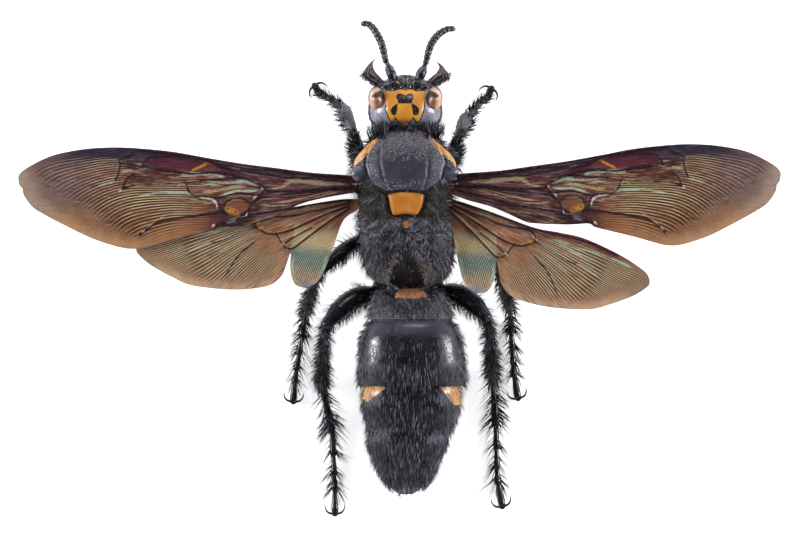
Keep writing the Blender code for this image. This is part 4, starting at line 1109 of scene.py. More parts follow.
# %% Wings fitted to their sides
def margins(name):
    """Front and rear edge of the drawn wing, as rows of x and y with x growing."""
    if name.startswith("hind"):
        front, rear = HINDWING_FRONT, HINDWING_REAR
    else:
        front, rear = FOREWING_FRONT, (*FOREWING_REAR[name.split("_")[1]], *FOREWING_OUTER)
    lines = []
    for edge in (front, rear):
        line = smooth_line(edge, 0.25)
        keep = np.concatenate([[True], line[1:, 0] > np.maximum.accumulate(line[:, 0])[:-1]])
        lines.append(line[keep])
    return lines


def fitted(name, x, y):
    """Drawn coordinates moved to where this wing is."""
    (rx, ry), side, stretch, sweep = WING_FITS[name]
    dx, dy = FOREWING_ROOT if name.startswith("fore") else HINDWING_ROOT
    cos, sin = math.cos(math.radians(sweep)), math.sin(math.radians(sweep))
    ox, oy = (x - dx) * stretch, y - dy
    return rx + side * (ox * cos - oy * sin), ry + ox * sin + oy * cos


def drawn(name, x, y):
    """The drawn coordinates of points of this wing, the way back from fitted."""
    (rx, ry), side, stretch, sweep = WING_FITS[name]
    dx, dy = FOREWING_ROOT if name.startswith("fore") else HINDWING_ROOT
    cos, sin = math.cos(math.radians(sweep)), math.sin(math.radians(sweep))
    ox, oy = (x - rx) * side, y - ry
    return dx + (ox * cos + oy * sin) / stretch, dy - ox * sin + oy * cos


def wing_level(name, x, y):
    """The height of a wing: it rises to the tip in a shallow arch and droops to its rear edge."""
    reach = np.maximum(0, np.abs(x - BODY_MIDDLE) - 7.0) / 50.0
    level = WING_HEIGHT + WING_RISE * reach + WING_ARCH * np.sin(math.pi * np.minimum(reach, 1))
    level = level - WING_DROOP * ((14.0 - y) / 10) ** 2
    return level - (HINDWING_DROP if name.startswith("hind") else 0.0)


print("height of a forewing's tip:", round(float(wing_level("forewing_right", 57.0, 14.2)), 2))

# %% [markdown]
# ## Veins
# The veins are drawn on the same right wing, each with its thickness. They are tubes that taper to their
# ends and are half sunk in the film, and the film rises a little towards each, as a real one does.

# %% The veins
FOREWING_VEINS = (
    (
        0.42, 0.2,
        ((7.3, 13.6), (8.9, 14.2), (15, 14.7), (20, 15.4), (25, 16.1), (30, 17), (35, 17.95), (39.5, 18.5)),
    ),
    (0.26, 0.14, ((8.8, 13.6), (15, 14), (20, 14.4), (25, 15.2), (28, 15.95), (30, 16.9))),
    (
        0.3, 0.14,
        (
            (8.8, 12.8), (13.1, 12.6), (17.3, 12.15), (21.6, 12.3), (22, 12.75), (25, 14.2), (28.5, 15),
            (32.4, 14.8), (35, 15.3), (39.4, 15.9),
        ),
    ),
    (0.16, 0.1, ((30, 17), (35, 17.5), (37.5, 17.5), (38.7, 17), (39.4, 15.9))),
    (0.1, 0.06, ((40, 18.5), (41.4, 17.6), (42.6, 17), (42.4, 16.4), (40.7, 16.25), (39.4, 15.9))),
    (0.16, 0.1, ((25, 14.2), (28.5, 14), (35, 13.4), (40, 13.2), (42.2, 12.6))),
    (0.12, 0.1, ((42.4, 16.4), (42.8, 14.6), (43.2, 13.9))),
    (0.1, 0.08, ((40.5, 14.9), (41.6, 14), (42.2, 12.7))),
    (
        0.16, 0.12,
        (
            (21.9, 12.6), (22.6, 11.6), (25, 11.9), (26.8, 11.7), (28.7, 11.3), (32.1, 11.7), (33, 13),
            (33.3, 13.7),
        ),
    ),
    (0.16, 0.12, ((22.6, 11.6), (23.5, 10.6), (24.4, 9.2), (25.3, 8.6))),
    (0.12, 0.1, ((23.7, 10.3), (24.9, 10.95), (26.6, 11), (27.5, 10.4), (27.75, 9.6), (27.2, 8.6))),
    (0.22, 0.1, ((8.9, 12.6), (13.1, 12.2), (18.4, 11.75), (22.1, 11.25), (23.3, 10.6))),
    (
        0.3, 0.16,
        (
            (8.9, 12), (13.1, 10.9), (17.4, 9.75), (21.2, 9), (24.2, 8.45), (25.9, 8), (27.75, 7.4),
            (28.7, 7.1),
        ),
    ),
    (0.18, 0.12, ((28.7, 11.2), (28.4, 10.2), (28.5, 9))),
    (0.2, 0.08, ((27.75, 9), (28.5, 9), (32.25, 8.5), (35, 8.1), (36.9, 7.7), (38.4, 6.85), (39.7, 5.7))),
)
HINDWING_VEINS = (
    (0.26, 0.12, ((7, 10.5), (8.8, 10.2), (13.7, 8.5), (20, 6.2), (27.5, 4.4), (32.5, 2.2))),
    (0.18, 0.1, ((7, 10.2), (11, 8.5), (15.5, 6.7), (19.5, 5.9), (20.4, 4.3))),
    (0.08, 0.04, ((20.4, 4.3), (22.5, 3.1), (24.9, 1.5), (26.3, 0.9))),
    (0.15, 0.08, ((7, 9.8), (11, 7.4), (15, 4.7), (18, 3.6), (20.4, 4.3))),
    (0.08, 0.04, ((20.2, 1.9), (21.5, 0.5), (22.5, -1), (23.6, -3.6))),
    (0.15, 0.08, ((6.9, 9.4), (9.5, 7), (12, 4.4), (14.2, 2.1), (14.9, 1.9))),
    (0.1, 0.07, ((12, 5.6), (14.5, 3.6), (15.9, 2.3))),
    (0.1, 0.07, ((15.2, 1.9), (15.9, 2.3), (16.6, 3.2), (17.2, 3.9))),
)
VEIN_LINES = {
    kind: [(thick, thin, smooth_line(points, 0.35)) for thick, thin, points in veins]
    for kind, veins in (("fore", FOREWING_VEINS), ("hind", HINDWING_VEINS))
}
print({kind: len(lines) for kind, lines in VEIN_LINES.items()}, "veins")


# %% How a film folds at its veins
def vein_nearness(kind, x, y):
    """1 on a vein, falling to nothing about half a millimetre beside it."""
    return np.max([hump(distance_to(x, y, line), 0.0, 0.3 + thin) for _, thin, line in VEIN_LINES[kind]],
        axis=0)


def vein_shadow(kind, x, y):
    """The same, only as wide as the dark edge of a vein."""
    return np.max([hump(distance_to(x, y, line), 0.0, 0.08 + thick * 0.7)
        for thick, _, line in VEIN_LINES[kind]], axis=0)


def film_place(name):
    """The place function of the film: u from the root to the tip, v from the rear edge to the front."""
    kind = name[:4]
    front, rear = margins(name)
    ends = front[0, 0], front[-1, 0]
    stops = np.unique(np.concatenate([rear[:, 0], np.linspace(*ends, 200)]))
    shares = np.linspace(0, 1, len(stops))

    def place(u, v):
        x = np.interp(u, shares, stops)
        low = np.interp(x, rear[:, 0], rear[:, 1])
        y = low + (np.interp(x, front[:, 0], front[:, 1]) - low) * v
        fx, fy = fitted(name, x, y)
        fold = VEIN_FOLD * vein_nearness(kind, x, y)
        return np.stack([fx, fy, wing_level(name, fx, fy) + fold], -1)
    return place


# %% [markdown]
# ## Strokes of light on the film
# Beside each vein the film is folded, and the fold catches the light as a pale, green or lilac stroke. The
# strokes are drawn like the veins, as lines with a half width, and each kind becomes one mask. The dark
# cells are outlines. All of them are written at the corners of the film and mixed in its finish.

# %% The strokes
FOREWING_STROKES = {
    "pale": (
        (
            0.24,
            (
                (9.6, 13.2), (12.8, 13.3), (15, 13.6), (17.3, 13.8), (18.2, 13.6), (18.8, 13.1),
                (19.5, 12.7), (21.5, 12.5),
            ),
        ),
        (0.34, ((11.5, 13.1), (14, 13.4), (16.4, 13.6), (18.4, 13.6), (19.4, 13.05))),
        (0.1, ((10.1, 12.4), (12.8, 11.7), (15.4, 10.9), (17.2, 10.1))),
        (0.09, ((10.6, 12.6), (14.5, 11.6), (17.5, 10.9), (20, 10.6))),
        (0.11, ((18, 10.1), (20.8, 10), (23.1, 10.3))),
        (0.12, ((24, 10.6), (25.1, 10.9), (26.4, 10.9), (27.2, 10.5))),
        (0.3, ((24, 12.7), (25.5, 12.9), (27.7, 12.6), (29.6, 12.2), (31.5, 12))),
        (0.16, ((29.2, 9.9), (30.4, 10.6), (31.9, 10.9), (33, 11.3))),
        (0.17, ((28.5, 13.6), (31.9, 13.7), (35, 13.4), (37.9, 13.3), (40.1, 13.1), (41.6, 12.7))),
        (0.14, ((32.9, 12.7), (33.3, 13.3), (34.1, 13.2), (34.5, 12.6))),
        (0.28, ((40.4, 15.6), (41.3, 15.3), (42.7, 15.2))),
        (0.09, ((32.4, 9.2), (34.7, 9), (36.6, 8.3), (38.2, 7.2), (39.4, 6))),
        (0.1, ((31, 14.3), (33, 14.5), (35.4, 14.2))),
    ),
    "green": (
        (0.33, ((22.2, 12.6), (23.2, 13.3), (24.7, 13.6), (26.6, 13.65), (28.7, 13.4), (31.5, 13.1))),
        (0.19, ((22.2, 12.5), (24, 12.2), (25.9, 12.25), (27.2, 11.85), (28.5, 11.5))),
        (0.24, ((26.7, 13.9), (28.7, 14.6), (31.5, 14.75), (34.5, 14.6))),
        (0.2, ((25.7, 8.1), (26.8, 7.7), (27.7, 7.35))),
        (0.17, ((31, 11.6), (33, 11.9), (35, 12.1), (37.9, 11.9), (41, 11.2))),
        (0.13, ((42.7, 14), (43.5, 13.6), (45, 13.3), (46.3, 12.75))),
    ),
    "white": (
        (0.2, ((22.2, 12.45), (22.25, 12.75))),
        (0.19, ((28.6, 9.3), (28.75, 10.3), (29.4, 11), (30.9, 11.3), (32, 11.8))),
        (0.13, ((24.3, 9.2), (24.6, 8.4), (25.6, 8.2))), (0.19, ((22.85, 11.7), (23.6, 10.9))),
        (0.17, ((29.05, 7.3), (29.4, 6.9))), (0.1, ((36.9, 15.5), (38.2, 15.75), (39.4, 15.7))),
        (0.12, ((42.2, 12.6), (42.7, 12.1))), (0.1, ((38.5, 6.9), (39.6, 5.85))),
    ),
    "lilac": (
        (0.13, ((17, 14.15), (20, 14.4), (22.7, 14.6), (25, 15.2), (27, 16))),
        (0.12, ((19.1, 14), (21.2, 14.25), (23.2, 14.6), (25.1, 15.1), (27.2, 15.9))),
        (0.1, ((18, 15.1), (23, 15.6), (27.4, 16.3), (30, 16.95), (33, 17.5))),
        (0.14, ((18.4, 9.5), (20.2, 9.1), (22.1, 8.6), (24, 8.5))),
        (0.24, ((18.9, 12), (20.2, 11.5), (21.6, 11.4), (23, 11))),
        (
            0.07,
            (
                (40.1, 18.4), (41.2, 17.8), (42.3, 17.4), (42.8, 16.8), (42.4, 16.2), (40.5, 16.25),
                (39.5, 16.1),
            ),
        ),
    ),
    "orange": (
        (0.24, ((29.6, 16.6), (31.2, 15.8), (32.8, 15))), (0.5, ((26, 9.05), (26.8, 9.3), (27.15, 9.5))),
        (0.12, ((28.9, 11.9), (30.5, 11.95))),
    ),
}
HINDWING_STROKES = {
    "pale": (
        (0.34, ((13.5, 3.8), (14.4, 3.1), (15.1, 2.5))), (0.11, ((9, 8.6), (11.5, 6.6), (14.6, 4.2))),
        (0.11, ((10.5, 9.6), (13.7, 8.2), (17, 6.6))), (0.12, ((9.5, 9.3), (13.5, 7.2), (17.5, 5))),
        (0.1, ((20.5, 5), (24, 3.9), (28.5, 2.7))),
    ),
    "green": (
        (0.12, ((20.3, 4.7), (21.4, 3.8), (22.7, 3), (24.9, 1.7), (26.2, 1.2))),
        (0.2, ((22.4, 4.6), (24, 4.3), (26, 3.7))),
        (0.16, ((26.5, 3.4), (30.4, 2.2), (32.2, 1.5), (35.1, 0.2))),
        (0.12, ((23.5, 3.9), (26, 2.9), (28, 1.9), (29.8, 1.2))),
        (0.1, ((22, 2.2), (24, 0.6), (25.6, -0.9))), (0.3, ((9, 2.4), (9.25, 0), (9.55, -1.3))),
        (0.22, ((14, 1), (14, -0.8), (13.4, -2))),
    ),
    "white": (
        (0.1, ((19.7, 5.5), (20.2, 4.75), (20.9, 4.1))), (0.09, ((24.5, 3.3), (26.8, 2.2), (28.6, 1))),
        (0.08, ((26, 1.4), (28.5, -0.2), (30.4, -1.5))), (0.2, ((15.7, 2.5), (16, 2.3))),
    ),
    "lilac": ((0.1, ((22.6, -0.7), (23.2, -2.3), (23.6, -3.6))), (0.13, ((14, 7.4), (17, 6), (19.5, 5.7)))),
    "orange": ((0.28, ((18.9, 4.5), (20, 4))),),
}
DARK_CELL = ((28.4, 15.4), (29.6, 16.4), (31.5, 16.7), (34.0, 17.2), (36.5, 17.35), (38.4, 17.0),
    (39.2, 16.3), (37.5, 15.8),
             (34.5, 15.4), (31.5, 15.1))
TAPER, TAPER_SHARE = 1.6, 0.35
OVAL_CELL = ((24.1, 10.1), (24.9, 10.7), (26.2, 10.8), (27.2, 10.3), (27.5, 9.6), (26.9, 8.8),
    (25.5, 8.7), (24.6, 9.2))
print(sum(len(lines) for lines in FOREWING_STROKES.values()), "strokes on a forewing")


# %% The marks of the films
def tapered(x, y, half, line):
    """A stroke along a line that thins out to both ends."""
    (x0, y0), (x1, y1) = line[0], line[-1]
    ends = np.minimum(np.hypot(x - x0, y - y0), np.hypot(x - x1, y - y1))
    reach = min(TAPER, TAPER_SHARE * math.hypot(x1 - x0, y1 - y0))
    return hump(distance_to(x, y, line), 0.0, half) * (0.4 + 0.6 * step_up(ends, 0.0, reach))


def stroke_rule(name, kind):
    """The mask of one kind of stroke on a wing."""
    strokes = (FOREWING_STROKES if name.startswith("fore") else HINDWING_STROKES)[kind]
    lines = [(half, smooth_line(points, 0.6)) for half, points in strokes]

    def rule(points):
        x, y = drawn(name, *flat(points))
        return np.max([tapered(x, y, half * 1.15, line) for half, line in lines], axis=0)
    return rule


def film_marks(name):
    """Every mark of a film: where it is, how far its edges are, its veins, its strokes and its cells."""
    front, rear = margins(name)

    def place_of(number):
        return lambda points: drawn(name, *flat(points))[number]

    def behind_front(points):
        x, y = drawn(name, *flat(points))
        return np.interp(x, front[:, 0], front[:, 1]) - y

    def cell(points):
        x, y = drawn(name, *flat(points))
        return edge_of(np.maximum(depth_inside(x, y, DARK_CELL), depth_inside(x, y, OVAL_CELL)), 0.4)

    marks = {
        "drawn_x": place_of(0), "drawn_y": place_of(1), "front": behind_front,
        "rim": lambda points: distance_to(*drawn(name, *flat(points)), rear[::3]),
        "vein": lambda points: vein_shadow(name[:4], *drawn(name, *flat(points))),
    }
    for kind in FOREWING_STROKES:
        marks[kind] = stroke_rule(name, kind)
    if name.startswith("fore"):
        marks["cell"] = cell
    return marks


# %% [markdown]
# ## The finish of the wings
# A real wing shows three things: a brown film, streaks that follow the veins near the body, and fine
# wrinkles near the rim. The wrinkles are a wave of a curved coordinate: constant along each wrinkle, it is
# y plus a term that grows towards the rim on a forewing, and an angle round a point on a hindwing.

# %% The finish of the wings
OLIVE, PALE_GREEN, BONE = "b2a076", "b0c4a6", "dfe5d4"
LILAC, AMBER, WRINKLE_DARK = "877280", "c8862c", "32180e"
VEIN_DARK = "1e0f16"


def fan(x, y, centre):
    """The angle of a point round a centre, in radians, and its distance from it."""
    dx, dy = x - centre[0], y - centre[1]
    return dy.maths("ARCTAN2", dx), (dx * dx + dy * dy).maths("SQRT")


def grained(look, across, along, detail=3.0, roughness=0.6, at=0.0):
    """Noise with a grain: it changes as the first value does across it and as the second does along it."""
    return look.noise(look.vector(across, along, at), 1.0, detail, roughness)


def layered(look, ground, layers):
    """The ground colour with others laid over it, each where its mask says."""
    for mask, shade in layers:
        ground = look.blend(mask, ground, shade)
    return ground


# %% The paint of a forewing
FORE_FAN = (4.0, 12.9)
FORE_WAVE = 0.32
BEND_AT, BEND_WAY, BEND_REACH, BEND_RISE = (49.0, 9.15), (0.563, 0.826), 9.3, 0.043


def forewing_paint(look, x, y, front, rim, warp, bend, cloud):
    """Ground colour, wrinkles, where they show, streaks of the base and the colour of the light lines."""
    angle, reach = fan(x, y, FORE_FAN)
    ahead = (x - BEND_AT[0]) * BEND_WAY[0] - (y - BEND_AT[1]) * BEND_WAY[1] + BEND_REACH
    ahead = ahead.maths("MAXIMUM", 0.0)
    phase = y + ahead * ahead * BEND_RISE + bend * 1.2
    finer = ahead.step(5.0, 9.0)
    wrinkles = phase.wave(FORE_WAVE) * (1 - finer) + phase.wave(FORE_WAVE / 2) * finer
    broken = grained(look, phase * 2.2, x * 0.22, 2.0, 0.5).step(0.32, 0.6)
    below = y.step(13.5, 12.9).maths("MAXIMUM", x.step(41.0, 43.5))
    where = (x + warp * 5).step(29.0, 34.5) * (front - x.step(49.0, 41.0) * 0.8).step(0.7, 1.7) * below
    where = where * (broken * 0.65 + 0.35) * (rim + warp * 2).step(0.0, 2.6)
    streaks = grained(look, angle * 34.0, reach * 0.12).step(0.5, 0.68)
    streaks = streaks * x.step(32.0, 25.0) * front.step(0.7, 1.2)
    red_cell = x.step(33.5, 35.0) * x.step(42.5, 41.0) * y.step(13.3, 13.9) * front.step(1.6, 2.0)
    near_edge = (front / (1.2 + x.step(28.0, 40.0) * 1.2) + warp * 0.5).step(1.3, 0.6)
    tint = layered(look, "4e222c", (
        ((x + warp * 7).step(19.0, 33.0), "6c3824"),
        (y.step(10.4, 9.2) * x.step(31.0, 27.0), "34161b"),
        ((y + warp * 2).step(13.5, 11.5) * x.step(31.0, 36.0), "6a4028"),
        ((rim + cloud * 4 - 2).step(4.6, 0.8) * x.step(29.0, 35.0), "9a6a44"),
        ((x + warp * 4).step(43.0, 52.0) * (y + warp * 3).step(8.5, 12.5), "6c5450"),
        ((rim + warp * 1.6).step(2.2, 0.1) * x.step(34.0, 44.0), "b48a62"),
        ((rim + warp * 1.6).step(4.0, 0.2) * x.step(49.0, 55.0), "a48a78"),
        (x.step(19.0, 23.0) * front.step(3.4, 1.6) * x.step(31.0, 28.0), "4a1826"),
        (red_cell, "50281e"),
        (near_edge * x.step(54.5, 47.0), look.blend(x.step(24.0, 36.0), "20141a", "272130")),
        (look.mark("cell") * 0.9, look.blend(x.step(28.6, 27.9), "511c2a", "7c4a32")),
    ))
    light = look.blend((y + warp * 2).step(10.5, 7.0), "ccbe8e", "bc8e60")
    return tint, wrinkles, where, streaks, look.blend(x.step(41.0, 49.0), light, "988474")


# %% The paint of a hindwing
HIND_FAN, LOBE_FAN, HIND_ROOT = (12.0, 9.0), (7.5, 16.0), (5.0, 11.3)
HIND_WAVE, LOBE_WAVE = 0.0245, 0.016


def hindwing_paint(look, x, y, front, rim, warp, bend, cloud):
    """The same for a hindwing, whose lobe beside the body has colours and wrinkles of its own."""
    angle, reach = fan(x, y, HIND_FAN)
    bent = angle + bend * 0.05
    finer = reach.step(18.0, 22.0)
    wrinkles = bent.wave(HIND_WAVE) * (1 - finer) + bent.wave(HIND_WAVE / 2) * finer
    lobe_angle, _ = fan(x, y, LOBE_FAN)
    lobe = x.step(14.7, 14.3) * y.step(6.5, 4.0)
    wrinkles = wrinkles * (1 - lobe) + (lobe_angle + bend * 0.03).wave(LOBE_WAVE) * lobe
    broken = grained(look, angle * 45.0, reach * 0.16, 2.0, 0.5).step(0.32, 0.6)
    where = (reach + warp * 5).step(8.5, 12.5) * front.step(0.7, 1.7) * (rim + warp * 2).step(0.0, 2.4)
    where = where.maths("MAXIMUM", lobe * rim.step(0.1, 0.7)) * (broken * 0.6 + 0.4)
    root_angle, root_reach = fan(x, y, HIND_ROOT)
    streaks = grained(look, root_angle * 26.0, root_reach * 0.12).step(0.44, 0.64)
    streaks = streaks * root_reach.step(19.0, 10.0) * (1 - lobe)
    lines = grained(look, root_angle * 44.0, root_reach * 0.2, 2.0, at=5.0)
    near_root = root_reach.step(17.5, 11.0) * (1 - lobe)
    teal = layered(look, "b8a486", (
        ((y + warp * 2).step(-1.8, 0.6), "567672"),
        ((y + warp * 2).step(1.4, 3.4), "e6cc94"),
        ((y + warp).step(-2.2, -3.0) * x.step(13.2, 11.4), "7d85a0"),
    ))
    tint = layered(look, "8e4c28", (
        ((reach + warp * 6).step(4.0, 15.0), "96704a"),
        (lines.step(0.55, 0.63) * near_root * 0.75, "cda880"),
        (lines.step(0.45, 0.38) * near_root * 0.75, "341614"),
        (front.step(2.8, 1.0) * x.step(17.0, 21.0), "744430"),
        ((rim + cloud * 3 - 1.5).step(4.2, 0.6) * x.step(14.4, 16.0), "9e7652"),
        ((rim + warp).step(1.8, 0.1) * x.step(15.0, 17.0), "c4a27e"),
        ((x + warp * 3).step(31.5, 37.0), "8c7254"),
        (lobe, teal),
    ))
    light = layered(look, "c6bc98", (
        ((rim + warp * 2).step(4.0, 1.0), "c0a27e"),
        (lobe * (y + warp).step(-1.5, 1.0), "a9bda2"),
        (lobe * (y + warp).step(1.6, 3.4), "e0cf96"),
    ))
    return tint, wrinkles, where, streaks, light


# %% The finish of the films
# For each kind of wing: its paint, how solid the film is and the point that its fibres run from
PAINTS = {"fore": (forewing_paint, 0.985, (-2.0, 13.2)), "hind": (hindwing_paint, 0.95, (4.0, 11.6))}
# For each kind of stroke: its colour, how much of it shows and how ragged its edges are
STROKE_PAINTS = (("pale", OLIVE, 0.85, 1.0), ("lilac", LILAC, 0.75, 1.0), ("green", PALE_GREEN, 0.88, 1.0),
                 ("orange", AMBER, 0.9, 0.3), ("white", BONE, 0.85, 0.4))


def film_look(kind):
    """The finish of both wings of a kind: the paint, then grain, fibres, veins and strokes over it."""
    look = Look(f"{kind}wing_film")
    x, y, front, rim = (look.mark(name) for name in ("drawn_x", "drawn_y", "front", "rim"))
    flat = look.vector(x, y, 0.0)
    warp = look.noise(flat, 0.5, 3.0) - 0.5
    bend = look.noise(flat, 0.11, 0.0) - 0.5
    cloud = look.noise(flat, 0.25, 4.0, 0.6)
    grain = look.noise(flat, 3.5, 3.0, 0.6)
    paint, alpha, root = PAINTS[kind]
    angle, reach = fan(x, y, root)
    fibre = grained(look, angle * 70.0, reach * 0.3)
    thread = grained(look, angle * 210.0, reach * 0.4, 2.0)
    tint, wrinkles, where, streaks, light = paint(look, x, y, front, rim, warp, bend, cloud)
    tint = look.blend((1 - wrinkles).step(0.2, 0.75) * where * (0.85 - x.step(42.0, 50.0) * 0.4), tint,
        WRINKLE_DARK)
    tint = look.blend(wrinkles.step(0.6, 0.92) * where * (0.6 + thread * 0.8), tint, light)
    lead = 0.7 if kind == "fore" else 0.0
    calm = (front.step(2.4, 1.4) * (x.step(27.0, 33.0) * (1 - lead) + lead)).maths("MAXIMUM",
        look.mark("cell"))
    plain = (1 - where) * (1 - calm * 0.85) * (1 - rim.step(3.4, 1.6) * x.step(22.0, 28.0) * 0.72)
    tint = layered(look, tint, (
        (grain.step(0.4, 0.64) * 0.16, WRINKLE_DARK),
        (streaks * 0.55, look.blend(cloud.step(0.4, 0.65), "7c5a3c", OLIVE)),
        (fibre.step(0.52, 0.68) * plain * 0.62, "a27e66"),
        (fibre.step(0.48, 0.32) * plain * 0.65, "1c0c12"),
        (thread.step(0.56, 0.68) * plain * 0.58, "b8a08c"),
        (thread.step(0.46, 0.3) * plain * 0.6, "160a0d"),
        (look.mark("vein").step(0.25, 0.75) * 0.9, VEIN_DARK),
    ))
    for stroke, shade, share, ragged in STROKE_PAINTS:
        torn = 1 + ((thread - 0.5) * 4 + (cloud - 0.5) * 2) * ragged
        mask = (look.mark(stroke) * torn).step(0.35, 0.85) * share
        darker = look.blend(0.45, shade, WRINKLE_DARK)
        tint = look.blend(mask, tint, look.blend(grain.step(0.35, 0.65), darker, shade))
    look.set(Base_Color=tint, Roughness=0.48 + (grain - 0.5) * 0.2, Alpha=alpha, Specular_IOR_Level=0.3)
    look.bump(wrinkles * where + thread * 0.5, 0.03, 0.6)
    return look


film_looks = {kind: film_look(kind) for kind in PAINTS}
for kind, look in film_looks.items():
    print(f"{kind}wing film: {len(look.material.node_tree.nodes)} nodes")

# %% The films
FILM_COLUMNS, FILM_ROWS = 460, 92


def film(name):
    """The film of one wing as a thin solid."""
    bm = bmesh.new()
    add_patch(bm, film_place(name), FILM_COLUMNS, FILM_ROWS)
    bmesh.ops.recalc_face_normals(bm, faces=bm.faces)
    bmesh.ops.solidify(bm, geom=bm.faces, thickness=WING_THICK * MM)
    made = finish_mesh(f"film_{name}", bm, film_marks(name))
    return seat(made, film_looks[name[:4]], "wing", name)


for name in WING_FITS:
    film(name)

# %% The vein tubes
VEIN_LIFT = 0.14
vein_look = Look("vein_horn")
vein_grain = vein_look.noise(vein_look.place(), 2.0, 3.0, 0.6)
vein_look.set(Base_Color=vein_look.blend(vein_grain.step(0.4, 0.62), VEIN_DARK, "4c2a30"), Roughness=0.55,
    Specular_IOR_Level=0.15)
vein_look.bump(vein_grain, 0.02)


def vein_tubes(name):
    """The veins of one wing, as tapering tubes that are sunk in its film by half."""
    patches = []
    front, rear = margins(name)
    for thick, thin, line in VEIN_LINES[name[:4]]:
        x = np.clip(line[:, 0], front[0, 0] + 0.1, front[-1, 0] - 0.3)
        low, high = np.interp(x, rear[:, 0], rear[:, 1]), np.interp(x, front[:, 0], front[:, 1])
        y = np.clip(line[:, 1], low + 0.15, high - 0.12)
        fx, fy = fitted(name, x, y)
        level = wing_level(name, fx, fy) + VEIN_FOLD * vein_nearness(name[:4], x, y) + VEIN_LIFT
        rows, halves = capped(np.stack([fx, fy, level], -1),
            np.linspace(thick, thin, len(line)) / 2, 0.9, 3)
        patches.append((limb(rows, halves, 0.8), 8, len(rows) - 1))
    return seat(skin(f"veins_{name}", patches), vein_look, "wing")


for name in WING_FITS:
    vein_tubes(name)

# %% [markdown]
# ## The legs
# A leg is a chain: coxa, trochanter, femur, tibia and five foot joints that flare to their ends, then two
# claws and a pad. Each link is a closed limb, and its rounded end sits in the next one, which is how an
# insect's leg works as well. The thigh of a hind leg bows outwards.

# %% The shapes of the legs
LEGS = {
    "fore_left": (
        ((-1.6, 17.4, 5.4), (-3.6, 16.3, 4.3), (-5.3, 15.6, 4)), (-6.7, 20.5, 6.9), (-8.6, 24.5, 2.1),
        ((-9.8, 25.3, 1.5), (-12.1, 26.7, 0.6), (-13.1, 28.1, 0.5)), 1, 0.95, 0.3,
    ),
    "fore_right": (
        ((3.2, 17.4, 5.4), (5.2, 16.3, 4.3), (6.9, 15.6, 4)), (8.4, 19.8, 6.9), (10.1, 23.2, 2.1),
        ((11.1, 24.1, 1.5), (13, 26, 0.6), (14, 27.7, 0.5)), 1, 0.95, 0.3,
    ),
    "mid_left": (
        ((-1.6, 8.2, 5), (-3.4, 6.6, 3.9), (-4.9, 5.2, 3.7)), (-12.2, -0.6, 8.3), (-14.35, -6.6, 1.9),
        ((-14.8, -10, 1.1), (-15.9, -16.9, 0.6), (-16.1, -20.2, 0.5)), 1.05, 0.9, 0.5,
    ),
    "mid_right": (
        ((3.4, 8.2, 5), (5.2, 6.6, 3.9), (6.8, 5.4, 3.7)), (14.1, 1.6, 8.3), (16.55, -5.8, 1.9),
        ((16.8, -9.5, 1.1), (17.15, -16, 0.6), (17.85, -19.7, 0.5)), 1.05, 0.9, 0.5,
    ),
    "hind_left": (
        ((-0.6, 1.2, 5.4), (-2.2, -1, 4.2), (-3.4, -3.1, 3.9)), (-11.2, -8.3, 8.3), (-11.75, -17.7, 2),
        ((-10.3, -24.2, 1.1), (-9.85, -33, 0.6), (-9.8, -37.1, 0.5)), 1.62, 0.85, 0.95,
    ),
    "hind_right": (
        ((2.6, 1.2, 5.4), (4.4, -1, 4.2), (5.9, -2.9, 3.9)), (13.1, -7.2, 8.3), (14, -16.6, 2),
        ((14.4, -23, 1.1), (14.7, -32.1, 0.6), (15.5, -36, 0.5)), 1.62, 0.85, 0.95,
    ),
}
COXA_HALVES = (1.5, 1.35, 1.0)
FEMUR_PROFILE = ((0.0, 0.6), (0.12, 0.88), (0.35, 1.0), (0.7, 0.9), (0.9, 0.62), (1.0, 0.52))
TIBIA_PROFILE = ((0.0, 0.55), (0.1, 0.68), (0.45, 0.84), (0.85, 1.0), (1.0, 0.85))
FORE_TIBIA_PROFILE = ((0.0, 0.45), (0.12, 0.6), (0.35, 0.95), (0.65, 1.2), (0.88, 1.1), (1.0, 0.75))
FOOT_SHARES = {"fore": (0, 0.4, 0.64, 0.83, 1), "mid": (0, 0.36, 0.62, 0.82, 1),
    "hind": (0, 0.45, 0.68, 0.86, 1)}
FOOT_HALVES = (0.3, 0.42, 0.52)
CLAW_PIECE_HALVES = (0.24, 0.42, 0.56, 0.5)
LIMB_DEEP = 1.12
print({name: len(foot) for name, (_, _, _, foot, *_) in LEGS.items()}, "points of each foot")


# %% The links of a leg
def along(line, share):
    """The point at a share of a line's rows."""
    at = share * (len(line) - 1)
    return np.array([np.interp(at, np.arange(len(line)), column) for column in np.array(line).T])


def sideways(run):
    """The level direction across a run."""
    return unit(np.cross(run, (0.0, 0.0, 1.0)))


